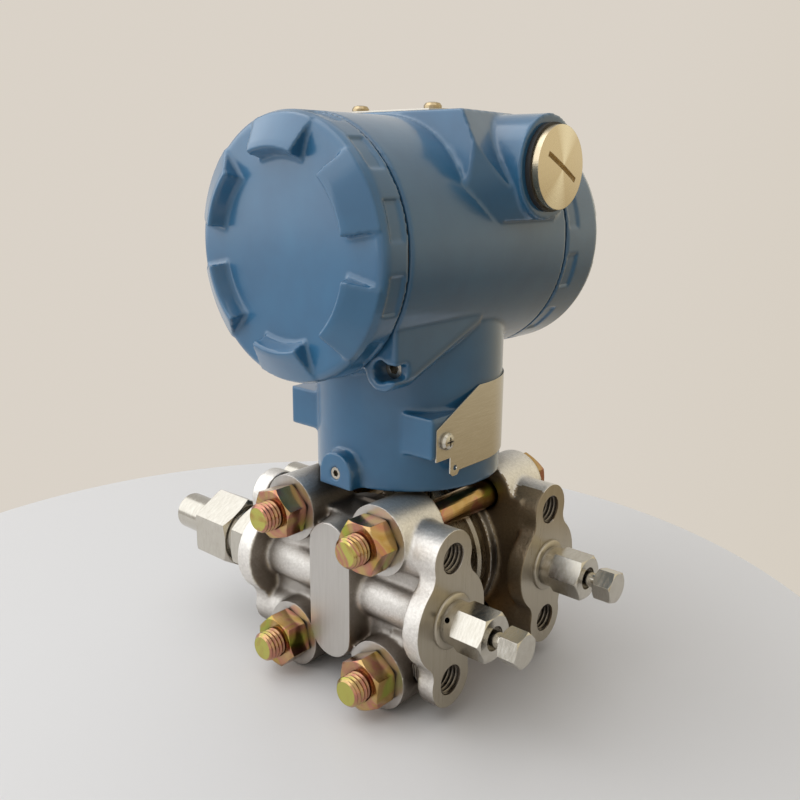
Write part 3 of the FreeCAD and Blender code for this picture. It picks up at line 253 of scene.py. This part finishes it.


# Tool-worked steel is darkened near corners with painted shade.
toolWork = {"cornerShade": {"reach": 2.0, "span": (0.0, 1.0), "strength": 0.6, "colour": (0.12, 0.105, 0.09, 1)},
            "bump": (0.25, 0.05), "edgeRound": 0.15}
turnedSteel = {"base": (0.51, 0.475, 0.41, 1), "light": (0.61, 0.58, 0.52, 1), "rough": (0.16, 0.26),
               "scale": 1400.0}
upAndDown = (1.0, 1.0, 0.06)
evenly = (1.0, 1.0, 1.0)
toolTones = {
    "milledUp": {"name": "milledFace", "base": (0.50, 0.475, 0.445, 1), "light": (0.56, 0.535, 0.505, 1),
                 "rough": (0.30, 0.42), "stretch": upAndDown, "scale": 900.0},
    # The milled ends are a darker, browner copy of the milled face: painted shade and painted reflection of
    # the dim room.
    "shadedMilledEnd": {"name": "shadedMilledEnd", "base": (0.41, 0.365, 0.29, 1), "light": (0.46, 0.415, 0.34, 1),
                  "rough": (0.26, 0.36), "stretch": upAndDown, "scale": 900.0},
    # The tapped threads are dark steel: painted shade inside the holes.
    "shadedThread": {"name": "shadedTappedThread", "base": (0.20, 0.17, 0.14, 1), "light": (0.30, 0.27, 0.23, 1),
               "rough": (0.25, 0.40), "stretch": evenly, "scale": 900.0},
    "turned": {"name": "turnedSteel", "stretch": (1.0, 0.25, 0.25), **turnedSteel},
    "plate": {"name": "brushedSheet", "base": (0.60, 0.565, 0.50, 1), "light": (0.66, 0.625, 0.56, 1),
              "rough": (0.17, 0.24), "stretch": (0.05, 0.05, 1.0), "scale": 2600.0},
    "screwBrown": {"name": "brownedScrew", "base": (0.42, 0.32, 0.18, 1), "light": (0.52, 0.42, 0.27, 1),
                   "rough": (0.2, 0.3), "stretch": evenly, "scale": 1400.0},
    # The capsule is a darker copy of the turned steel: painted shade between the flanges.
    "shadedCapsule": {"name": "shadedCapsuleSteel", "base": (0.30, 0.26, 0.20, 1), "light": (0.40, 0.36, 0.29, 1),
                "rough": (0.22, 0.34), "stretch": (0.25, 1.0, 0.25), "scale": 1200.0},
    "screw": {"name": "screwSteel", "stretch": evenly, **turnedSteel},
    "brass": {"name": "terminalBrass", "base": (0.60, 0.45, 0.18, 1), "light": (0.75, 0.60, 0.30, 1),
              "rough": (0.2, 0.35), "stretch": evenly, "scale": 900.0},
}


def toolMaterial(tones):
    material, tree, shader = newMaterial(tones["name"])
    marks = placeGroup(tree, toolMarks, {"Stretch": tones["stretch"], "Scale": tones["scale"]})
    tone = mixColour(tree, marks.outputs["Streaks"], tones["base"], tones["light"])
    tree.links.new(shadeCorners(tree, tone, toolWork["cornerShade"]), shader.inputs["Base Color"])
    shader.inputs["Metallic"].default_value = 1.0
    roughen(tree, shader, marks.outputs["Height"], tones["rough"])
    cut = bump(tree, marks.outputs["Height"], *toolWork["bump"], roundedNormal(tree, toolWork["edgeRound"]))
    tree.links.new(cut, shader.inputs["Normal"])
    return material


zinc = {"green": (0.37, 0.39, 0.07, 1), "gold": (0.44, 0.27, 0.09, 1), "pale": (0.50, 0.34, 0.15, 1),
        "pink": (0.47, 0.20, 0.15, 1), "lime": (0.50, 0.47, 0.12, 1), "rough": (0.14, 0.26),
        "filmScale": 70.0, "film": {"Detail": 2.0, "Distortion": 1.2}, "thin": 0.30, "thick": 0.75,
        # The zinc is darkened near corners with painted shade.
        "cornerShade": {"reach": 2.0, "span": (0.0, 1.0), "strength": 0.7, "colour": (0.07, 0.06, 0.03, 1)},
        "grain": {"Scale": 1500.0, "Drift Scale": 200.0, "Pit Scale": 800.0},
        "bump": (0.2, 0.04), "edgeRound": 0.2}
zincTones = {
    "zinc": {"name": "yellowZinc", "tones": ("green", "gold", "pale", "pink", "gold", "green")},
    "zincThread": {"name": "zincThread", "tones": ("green", "pale", "pink", "pale", "gold")},
    "zincEnd": {"name": "zincEnd", "tones": ("gold", "lime", "lime", "pink", "lime")},
}


# The film's colours run through the named tones, from thin to thick.
def zincMaterial(bath):
    material, tree, shader = newMaterial(bath["name"])
    place = addNode(tree, "ShaderNodeTexCoord").outputs["Object"]
    film = addNoise(tree, place, zinc["filmScale"], zinc["film"])
    ramp = addNode(tree, "ShaderNodeValToRGB", {"Fac": film.outputs["Fac"]})
    tones = bath["tones"]
    step = (zinc["thick"] - zinc["thin"]) / (len(tones) - 1)
    stops = ramp.color_ramp.elements
    stops[0].position, stops[0].color = zinc["thin"], zinc[tones[0]]
    stops[1].position, stops[1].color = zinc["thick"], zinc[tones[-1]]
    for i, tone in enumerate(tones[1:-1], 1):
        stops.new(zinc["thin"] + step * i).color = zinc[tone]
    tree.links.new(shadeCorners(tree, ramp.outputs["Color"], zinc["cornerShade"]), shader.inputs["Base Color"])
    shader.inputs["Metallic"].default_value = 1.0
    skin = placeGroup(tree, grain, zinc["grain"])
    roughen(tree, shader, skin.outputs["Drift"], zinc["rough"])
    fine = bump(tree, skin.outputs["Height"], *zinc["bump"], roundedNormal(tree, zinc["edgeRound"]))
    tree.links.new(fine, shader.inputs["Normal"])
    return material


moulding = {"bump": (0.2, 0.05), "edgeRound": 0.15, "roughEitherWay": 0.06, "driftShare": 8, "pitShare": 2}
mouldedTones = {
    "rubber": {"name": "blackRubber", "base": (0.012, 0.012, 0.013, 1), "second": (0.02, 0.02, 0.02, 1),
               "rough": 0.55, "scale": 900.0},
    "terminal": {"name": "terminalPlastic", "base": (0.02, 0.02, 0.022, 1), "second": (0.03, 0.03, 0.03, 1),
                 "rough": 0.4, "scale": 700.0},
    "board": {"name": "boardLacquer", "base": (0.01, 0.09, 0.035, 1), "second": (0.015, 0.12, 0.05, 1),
              "rough": 0.3, "scale": 300.0},
    "gasket": {"name": "whiteGasket", "base": (0.75, 0.75, 0.72, 1), "second": (0.70, 0.70, 0.67, 1),
               "rough": 0.45, "scale": 600.0},
}


def mouldedMaterial(tones):
    material, tree, shader = newMaterial(tones["name"])
    scale, rough, either = tones["scale"], tones["rough"], moulding["roughEitherWay"]
    skin = placeGroup(tree, grain, {"Scale": scale, "Drift Scale": scale / moulding["driftShare"],
                                    "Pit Scale": scale / moulding["pitShare"]})
    tone = mixColour(tree, mapRange(tree, skin.outputs["Drift"], *toneSpan), tones["base"], tones["second"])
    tree.links.new(tone, shader.inputs["Base Color"])
    roughen(tree, shader, skin.outputs["Height"], (rough - either, rough + either))
    fine = bump(tree, skin.outputs["Height"], *moulding["bump"], roundedNormal(tree, moulding["edgeRound"]))
    tree.links.new(fine, shader.inputs["Normal"])
    return material


plugFace = {"base": (0.62, 0.52, 0.36, 1), "light": (0.80, 0.72, 0.56, 1), "rough": (0.22, 0.30),
            "x": 46.0, "fans": 2.0, "fanTurn": 3.6, "fanRim": (0.45, 1.0),
            "rings": {"Scale": 2600.0, "Detail": 3.0}, "bump": (0.25, 0.03), "edgeRound": 0.25}


# The plug's turned face, with a painted highlight: two opposite fans of lighter colour stand for the light
# its rings catch, the same wherever it is seen from.
def plugMaterial():
    material, tree, shader = newMaterial("warmNickel")
    place = addNode(tree, "ShaderNodeTexCoord").outputs["Object"]
    centre = at(plugFace["x"], conduit["y"], conduit["z"])
    arm = calculate(tree, "ShaderNodeVectorMath", "SUBTRACT", place, centre).outputs[0]
    split = addNode(tree, "ShaderNodeSeparateXYZ", {"Vector": arm})
    angle = calculate(tree, "ShaderNodeMath", "ARCTAN2", split.outputs["Z"], split.outputs["Y"])
    turned = calculate(tree, "ShaderNodeMath", "MULTIPLY_ADD", angle.outputs[0], plugFace["fans"],
                       plugFace["fanTurn"])
    wave = calculate(tree, "ShaderNodeMath", "COSINE", turned.outputs[0])
    highlightFan = mapRange(tree, wave.outputs[0], *plugFace["fanRim"])
    length = calculate(tree, "ShaderNodeVectorMath", "LENGTH", arm).outputs["Value"]
    rings = addNode(tree, "ShaderNodeTexNoise", {"W": length, **plugFace["rings"]}, noise_dimensions="1D")
    tree.links.new(mixColour(tree, highlightFan, plugFace["base"], plugFace["light"]), shader.inputs["Base Color"])
    shader.inputs["Metallic"].default_value = 1.0
    roughen(tree, shader, rings.outputs["Fac"], plugFace["rough"])
    fine = bump(tree, rings.outputs["Fac"], *plugFace["bump"], roundedNormal(tree, plugFace["edgeRound"]))
    tree.links.new(fine, shader.inputs["Normal"])
    return material


materials = {"paint": paintMaterial(), "plug": plugMaterial()}
for family, make in ((castTones, castMaterial), (toolTones, toolMaterial), (zincTones, zincMaterial),
                     (mouldedTones, mouldedMaterial)):
    materials.update({finish: make(tones) for finish, tones in family.items()})

nodeFinish = {
    "paint": ["housing", "front_cover", "rear_cover"],
    "rubber": ["front_cover_seal", "rear_cover_seal", "conduit_plug_seal"],
    "plug": ["conduit_plug"],
    "plate": ["top_plate", "tag_plate"],
    "screwBrown": ["top_plate_screws"],
    "screw": ["tag_plate_screws", "housing_lock_screw", "cover_lock_screw", "terminal_block_screws",
              "board_screws", "board_posts"],
    "terminal": ["terminal_block"],
    "brass": ["terminal_screws"],
    "board": ["power_board", "signal_board"],
    "zinc": ["flange_bolts", "flange_nuts"],
    "turned": ["sensor_neck", "sensor_header"],
    "shadedCapsule": ["sensor_capsule"],
    "cast": [],
    "gasket": [],
}
sideFinish = {"turned": ("vent_body", "vent_stem", "connector", "union_nut", "nipple", "diaphragm"),
              "cast": ("flange",), "gasket": ("gasket", "union_gasket")}
for side in ("high_side_", "low_side_"):
    for finish, names in sideFinish.items():
        nodeFinish[finish] += [side + name for name in names]


def setFinishes(mesh, finishes):
    mesh.materials.clear()
    for finish in finishes:
        mesh.materials.append(materials[finish])


for finish, names in nodeFinish.items():
    for name in names:
        setFinishes(nodes[name].data, (finish,))
print("materials placed")


def openSheet(mesh):
    sheet = bmesh.new()
    sheet.from_mesh(mesh)
    return sheet


def closeSheet(sheet, mesh):
    sheet.to_mesh(mesh)
    sheet.free()


def weld(mesh, distance):
    sheet = openSheet(mesh)
    bmesh.ops.remove_doubles(sheet, verts=sheet.verts, dist=distance * mm)
    closeSheet(sheet, mesh)


def localPoints(mesh):
    points = numpy.empty(len(mesh.vertices) * 3)
    mesh.vertices.foreach_get("co", points)
    return (points.reshape(-1, 3) - numpy.array(sensorCentre)) / mm


def setLocalPoints(mesh, points):
    mesh.vertices.foreach_set("co", (points * mm + numpy.array(sensorCentre)).ravel())
    mesh.update()


skinForm = {"seamWeld": 0.002, "softness": 0.5}     # the weld closes the seams between a solid's faces


def weldedCopy(node, pieceName):
    mesh = nodes[node].data.copy()
    weld(mesh, skinForm["seamWeld"])
    mesh.materials.clear()
    piece = bpy.data.objects.new(pieceName, mesh)
    bpy.context.scene.collection.objects.link(piece)
    return piece


def applyModifiers(piece):
    bpy.context.view_layer.update()
    graph = bpy.context.evaluated_depsgraph_get()
    mesh = bpy.data.meshes.new_from_object(piece.evaluated_get(graph))
    piece.modifiers.clear()
    piece.data = mesh


def remesh(piece, voxel):
    skin = piece.modifiers.new("skin", "REMESH")
    skin.mode = "VOXEL"
    skin.voxel_size = voxel * mm
    applyModifiers(piece)


# Free says for each point whether it is smoothed. Without it they all are.
def smooth(piece, rounds, free=None):
    soften = piece.modifiers.new("soften", "SMOOTH")
    soften.factor = skinForm["softness"]
    soften.iterations = rounds
    if free is not None:
        group = piece.vertex_groups.new(name="free")
        group.add([int(i) for i in numpy.nonzero(free)[0]], 1.0, "REPLACE")
        soften.vertex_group = "free"
    applyModifiers(piece)
    piece.vertex_groups.clear()


# finishOf names a face's finish from its place and normal, and without it all faces have the first finish.
# Milled faces are flat with sharp rims, and the others are smooth.
def dress(piece, finishes, finishOf=None):
    mesh = piece.data
    setFinishes(mesh, finishes)
    sheet = openSheet(mesh)
    for face in sheet.faces:
        finish = finishes[0]
        if finishOf is not None:
            finish = finishOf((face.calc_center_median() - sensorCentre) / mm, face.normal)
        face.material_index = finishes.index(finish)
        face.smooth = finish not in ("milledUp", "shadedMilledEnd")
    for edge in sheet.edges:
        if len(edge.link_faces) == 2 and edge.link_faces[0].smooth != edge.link_faces[1].smooth:
            edge.smooth = False
    closeSheet(sheet, mesh)


def finishSlot(piece, finish):
    return piece.data.materials.find(materials[finish].name)


def joinInto(piece, details):
    sheet = openSheet(piece.data)
    for mesh, finish in details:
        slot = finishSlot(piece, finish)
        first = len(sheet.faces)
        sheet.from_mesh(mesh)
        sheet.faces.ensure_lookup_table()
        for face in sheet.faces[first:]:
            face.material_index = slot
            face.smooth = True
    closeSheet(sheet, piece.data)


def flatShaded(mesh):
    for polygon in mesh.polygons:
        polygon.use_smooth = False


# A ring of points about an axis, with a radius for each point.
def addRing(sheet, centre, axis, radii):
    side = Vector((axis.y, axis.z, axis.x))
    other = axis.cross(side)
    turns = [2 * math.pi * k / len(radii) for k in range(len(radii))]
    return [sheet.verts.new(at(*(centre + (side * math.cos(turn) + other * math.sin(turn)) * radius)))
            for turn, radius in zip(turns, radii)]


def joinRings(sheet, rings):
    for low, high in zip(rings, rings[1:]):
        for k in range(len(low)):
            after = (k + 1) % len(low)
            sheet.faces.new((low[k], low[after], high[after], high[k]))


# A turned surface from (radius, distance along the axis) pairs, in millimetres.
def turnedSheet(profile, start, axis, segments):
    sheet = bmesh.new()
    rings = [addRing(sheet, start + axis * along, axis, [radius] * segments) for radius, along in profile]
    joinRings(sheet, rings)
    mesh = bpy.data.meshes.new("turnedSheet")
    closeSheet(sheet, mesh)
    return mesh


ridgeForm = {"crest": 1.35, "flank": 1.6}     # how broad a thread's crest is, and how steep its flanks


# A screw thread, in so many slices a turn. Its depth is negative in a hole, where the roots lie outside the
# crests. Lead is the chamfer at the far end, and a capped thread is closed there.
def threadSheet(start, axis, length, thread):
    segments, pitch = thread["segments"], thread["pitch"]
    rows = int(round(length / pitch * thread["slices"]))
    sheet = bmesh.new()
    rings = []
    for i in range(rows + 1):
        along = length * i / rows
        radii = []
        for k in range(segments):
            phase = (along / pitch - k / segments) % 1.0
            ridge = min(1.0, max(0.0, ridgeForm["crest"] - abs(2 * phase - 1) * ridgeForm["flank"]))
            radii.append(thread["crest"] - thread["depth"] * (1 - ridge))
        if thread["lead"] > 0:
            widest = thread["crest"] - thread["lead"] + (length - along)
            radii = [min(radius, widest) for radius in radii]
        rings.append(addRing(sheet, start + axis * along, axis, radii))
    joinRings(sheet, rings)
    if thread["capped"]:
        sheet.faces.new(rings[-1])
    mesh = bpy.data.meshes.new("threadSheet")
    closeSheet(sheet, mesh)
    return mesh


# Flanges: the solid's mesh is remeshed finely and smoothed, so that its cast edges round off. Its machined
# faces are pushed out first and brought back to their planes at the end, which keeps them flat and crisp.
# Near and onFace say how close to such a plane a point or a face lies, and facing how squarely it looks out.
flangeForm = {"voxel": 0.7, "rounds": 6, "push": 1.3, "weld": 0.12, "near": 0.01, "onFace": 0.02,
              "facing": 0.9, "inward": 0.5, "end": 42.0, "spot": 37.5, "plate": 33.0,
              "pad": 39.0, "padHalf": 9.6, "padRun": 14.5}
portForm = {"y": 27.0, "ring": 9.0, "foot": -0.2, "shoulder": 0.55, "bevel": 0.25, "rise": 0.8, "inside": 6.1,
            "segments": 64, "tap": 20.65, "tapStart": 14.0, "tapLength": 13.7}
tapThread = {"crest": 4.25, "depth": -0.75, "pitch": 1.5, "lead": 0.0, "capped": False,
             "segments": 48, "slices": 8}


# The raised ring around a port, and the two tapped holes above and below it.
def portDetails(end, sign):
    form = portForm
    seat = Vector((end * flangeForm["end"], sign * form["y"], 0))
    out = Vector((end, 0, 0))
    profile = [(form["ring"], form["foot"]), (form["ring"], form["shoulder"]),
               (form["ring"] - form["bevel"], form["rise"]), (form["inside"], form["rise"])]
    details = [(turnedSheet(profile, seat, out, form["segments"]), "shadedMilledEnd")]
    for level in (1, -1):
        root = seat + Vector((0, 0, level * form["tap"])) - out * form["tapStart"]
        details.append((threadSheet(root, out, form["tapLength"], tapThread), "shadedThread"))
    return details


def makeFlange(side, sign):
    form = flangeForm
    piece = weldedCopy(side + "_side_flange", side + "FlangeCasting")
    points = localPoints(piece.data)
    ends = numpy.abs(points[:, 0]) > form["end"] - form["near"]
    points[ends, 0] += numpy.sign(points[ends, 0]) * form["push"]
    outer = numpy.abs(numpy.abs(points[:, 1]) - form["spot"]) < form["near"]
    outer |= numpy.abs(numpy.abs(points[:, 1]) - form["pad"]) < form["near"]
    points[outer, 1] += sign * form["push"]
    setLocalPoints(piece.data, points)
    remesh(piece, form["voxel"])
    smooth(piece, form["rounds"])
    points = localPoints(piece.data)
    points[:, 0] = numpy.clip(points[:, 0], -form["end"], form["end"])
    run = numpy.maximum(numpy.abs(points[:, 2]) - form["padRun"], 0)
    onPad = numpy.hypot(points[:, 0], run) < form["padHalf"]
    reach = numpy.where(onPad, form["pad"], form["spot"])
    inEndBlock = numpy.abs(points[:, 0]) > form["plate"]     # the end blocks keep their cast outsides
    reach = numpy.where(inEndBlock, numpy.inf, reach)
    points[:, 1] = numpy.sign(points[:, 1]) * numpy.minimum(numpy.abs(points[:, 1]), reach)
    setLocalPoints(piece.data, points)
    weld(piece.data, form["weld"])

    # The ends and the faces that the bolts clamp are milled, and what looks towards the sensor takes the
    # darker, browner casting copy: painted shade and painted reflection of the dark capsule.
    def finishOf(place, normal):
        if abs(place.x) > form["end"] - form["onFace"] and abs(normal.x) > form["facing"]:
            return "shadedMilledEnd"
        onSpot = min(abs(abs(place.y) - form["spot"]), abs(abs(place.y) - form["pad"])) < form["onFace"]
        if onSpot and abs(normal.y) > form["facing"] and abs(place.x) < form["plate"]:
            return "milledUp"
        return "castShaded" if normal.y * sign < -form["inward"] else "cast"
    dress(piece, ("cast", "castShaded", "shadedThread", "milledUp", "shadedMilledEnd"), finishOf)
    joinInto(piece, portDetails(1, sign) + portDetails(-1, sign))
    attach(piece, "sensor")
    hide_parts(side + "_side_flange")
    print(piece.name, len(piece.data.polygons), "faces")


makeFlange("high", -1)
makeFlange("low", 1)


# Flange bolts: the plain ends of the solids give way to cut threads, which start a little inside the nuts.
bolting = {"x": 20.0, "z": 23.4, "nutFace": 45.9, "insideNut": 0.4, "end": 51.7}
boltThread = {"crest": 5.0, "depth": 0.55, "pitch": 1.5, "lead": 1.1, "capped": True,
              "segments": 64, "slices": 14}


def makeBolts():
    piece = weldedCopy("flange_bolts", "flangeBoltSet")
    out = Vector((0, -1, 0))
    cutY = bolting["insideNut"] - bolting["nutFace"]
    sheet = openSheet(piece.data)
    bmesh.ops.bisect_plane(sheet, geom=sheet.verts[:] + sheet.edges[:] + sheet.faces[:],
                           plane_co=at(0, cutY, 0), plane_no=out, clear_outer=True)
    closeSheet(sheet, piece.data)
    setFinishes(piece.data, ("zinc", "zincThread", "zincEnd"))
    flatShaded(piece.data)
    ends = []
    for x in (-bolting["x"], bolting["x"]):
        for z in (-bolting["z"], bolting["z"]):
            thread = threadSheet(Vector((x, cutY, z)), out, bolting["end"] + cutY, boltThread)
            ends.append((thread, "zincThread"))
    joinInto(piece, ends)
    for polygon in piece.data.polygons:
        if len(polygon.vertices) == boltThread["segments"]:     # only the ends have so many corners
            polygon.material_index = finishSlot(piece, "zincEnd")
            polygon.use_smooth = False
    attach(piece, "sensor")
    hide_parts("flange_bolts")
    print("flange bolts threaded")


makeBolts()

plugTurn = 21.0     # in degrees: screwed home, the plug's slot is turned this far from the solid's


def makePlug():
    piece = weldedCopy("conduit_plug", "conduitPlugTurned")
    centre = at(0, conduit["y"], conduit["z"])
    piece.data.transform(Matrix.Translation(centre) @ Matrix.Rotation(math.radians(plugTurn), 4, "X")
                         @ Matrix.Translation(-centre))
    setFinishes(piece.data, ("plug",))
    flatShaded(piece.data)
    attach(piece, "housing")
    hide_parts("conduit_plug")
    print("plug turned")


makePlug()


# The housing is cast and painted, so its outer edges are soft. Its bores and the inside of its collar keep
# their size.
housingForm = {"voxel": 0.7, "rounds": 1, "bore": 35.4, "barrelZ": 111.6, "bossBore": 10.6, "bossStart": 30.0,
               "collarInside": 27.0, "collarTop": 75.0}


def makeHousing():
    form = housingForm
    piece = weldedCopy("housing", "housingCasting")
    remesh(piece, form["voxel"])
    x, y, z = localPoints(piece.data).T
    inBarrel = numpy.hypot(x, z - form["barrelZ"]) < form["bore"]
    inBoss = numpy.hypot(y - conduit["y"], z - conduit["z"]) < form["bossBore"]
    inBoss &= numpy.abs(x) > form["bossStart"]
    inCollar = (numpy.hypot(x, y) < form["collarInside"]) & (z < form["collarTop"])
    smooth(piece, form["rounds"], ~(inBarrel | inBoss | inCollar))
    dress(piece, ("paint",))
    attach(piece, "housing")
    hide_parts("housing")
    print("housing", len(piece.data.polygons), "faces")


makeHousing()

coverForm = {"voxel": 0.6, "rounds": 1, "seamGap": 1.0}     # nothing nearer the seam than the gap is smoothed


def makeCover(name, sign):
    low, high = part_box(name + "_cover_seal")
    seam = (low.y if sign < 0 else high.y) / mm
    piece = weldedCopy(name + "_cover", name + "CoverCasting")
    remesh(piece, coverForm["voxel"])
    points = localPoints(piece.data)
    smooth(piece, coverForm["rounds"], sign * (points[:, 1] - seam) > coverForm["seamGap"])
    dress(piece, ("paint",))
    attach(piece, name + "_cover")
    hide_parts(name + "_cover")
    print(name, "cover", len(piece.data.polygons), "faces")


makeCover("front", -1)
makeCover("rear", 1)


# A round table, its middle measured from the sensor's centre in millimetres and its other sizes in metres.
table = {"middle": (-30.8, -22.5), "radius": 0.203, "undercut": 0.004, "thickness": 0.02, "segments": 256,
         "colour": (0.70, 0.695, 0.70, 1), "rough": 0.42}


def makeTable():
    middle = at(*table["middle"], 0)
    sheet = bmesh.new()
    bmesh.ops.create_cone(sheet, cap_ends=True, segments=table["segments"], radius2=table["radius"],
                          radius1=table["radius"] - table["undercut"], depth=table["thickness"],
                          matrix=Matrix.Translation((middle.x, middle.y, -table["thickness"] / 2)))
    mesh = bpy.data.meshes.new("tableTop")
    closeSheet(sheet, mesh)
    material, _, shader = newMaterial("paleTable")
    shader.inputs["Base Color"].default_value = table["colour"]
    shader.inputs["Roughness"].default_value = table["rough"]
    mesh.materials.append(material)
    top = bpy.data.objects.new("tableTop", mesh)
    bpy.context.scene.collection.objects.link(top)


# The room is bright on one side and dim on the other. Its gloss colours are what the metal mirrors, on the
# dim side brighter above than below, and its wall colours are what the camera sees behind the table.
room = {"towardsDim": (0.80, 0.55, -0.22), "dimSpan": (-0.2, 0.75), "riseSpan": (-0.35, 0.02),
        "bright": (0.66, 0.65, 0.63, 1), "dim": (0.13, 0.10, 0.06, 1), "glossBright": (0.62, 0.61, 0.59, 1),
        "glossHigh": (0.92, 0.84, 0.64, 1), "glossLow": (0.36, 0.28, 0.16, 1),
        "wallLeft": (0.70, 0.645, 0.575, 1), "wallRight": (0.63, 0.57, 0.47, 1), "wallSpan": (0.1, 0.9)}


def makeRoom():
    world = bpy.data.worlds.new("room")
    bpy.context.scene.world = world
    world.use_nodes = True
    tree = world.node_tree
    place = addNode(tree, "ShaderNodeTexCoord").outputs["Generated"]
    product = calculate(tree, "ShaderNodeVectorMath", "DOT_PRODUCT", place, room["towardsDim"])
    across = product.outputs["Value"]
    height = addNode(tree, "ShaderNodeSeparateXYZ", {"Vector": place}).outputs["Z"]
    dim = mapRange(tree, across, *room["dimSpan"])
    light = mixColour(tree, dim, room["bright"], room["dim"])
    far = mixColour(tree, mapRange(tree, height, *room["riseSpan"]), room["glossLow"], room["glossHigh"])
    gloss = mixColour(tree, dim, room["glossBright"], far)
    wall = mixColour(tree, mapRange(tree, across, *room["wallSpan"]), room["wallLeft"], room["wallRight"])
    path = addNode(tree, "ShaderNodeLightPath")
    seen = mixColour(tree, path.outputs["Is Glossy Ray"], light, gloss)
    seen = mixColour(tree, path.outputs["Is Camera Ray"], seen, wall)
    tree.links.new(seen, tree.nodes["Background"].inputs["Color"])


# Square area lamps, in metres and watts, all aimed at the transmitter's middle.
lampAim = Vector((0.01, 0.0, 0.1))
lamps = {
    "windowLeft": {"place": (-0.75, -0.75, 0.85), "size": 2.0, "power": 15.0, "colour": (0.94, 0.97, 1.0)},
    "ceilingSoft": {"place": (-0.10, -0.10, 1.15), "size": 1.3, "power": 3.6, "colour": (1.0, 0.98, 0.95)},
    "frontFill": {"place": (0.25, -1.15, 0.45), "size": 1.6, "power": 2.0, "colour": (1.0, 0.98, 0.96)},
}


def makeLamp(name, settings):
    lamp = bpy.data.lights.new(name, "AREA")
    lamp.size = settings["size"]
    lamp.energy = settings["power"]
    lamp.color = settings["colour"]
    light = bpy.data.objects.new(name, lamp)
    light.location = settings["place"]
    light.rotation_euler = (lampAim - Vector(settings["place"])).to_track_quat("-Z", "Y").to_euler()
    bpy.context.scene.collection.objects.link(light)


# Where the camera stands, from the sensor's centre in millimetres, its turns in radians, and its lens and
# sensor in millimetres. It sees nothing nearer than clip, in metres.
view = {"place": (192.77, -222.60, 134.97), "yaw": 0.7243, "pitch": -0.2575, "roll": 0.0086, "lens": 39.843,
        "sensor": 36.0, "clip": 0.01}


def makeCamera():
    camera = bpy.data.objects.new("camera", bpy.data.cameras.new("camera"))
    bpy.context.scene.collection.objects.link(camera)
    yaw, pitch, roll = view["yaw"], view["pitch"], view["roll"]
    forward = Vector((-math.sin(yaw) * math.cos(pitch), math.cos(yaw) * math.cos(pitch), math.sin(pitch)))
    level = forward.cross(Vector((0, 0, 1))).normalized()
    plumb = level.cross(forward)
    right = level * math.cos(roll) + plumb * math.sin(roll)
    up = plumb * math.cos(roll) - level * math.sin(roll)
    turn = Matrix((right, up, -forward)).transposed()
    camera.matrix_world = Matrix.Translation(at(*view["place"])) @ turn.to_4x4()
    camera.data.sensor_width = view["sensor"]
    camera.data.lens = view["lens"]
    camera.data.clip_start = view["clip"]
    bpy.context.scene.camera = camera


makeTable()
makeRoom()
for name, settings in lamps.items():
    makeLamp(name, settings)
makeCamera()
bpy.context.scene.view_settings.view_transform = "Standard"
print("stage, light and camera placed")
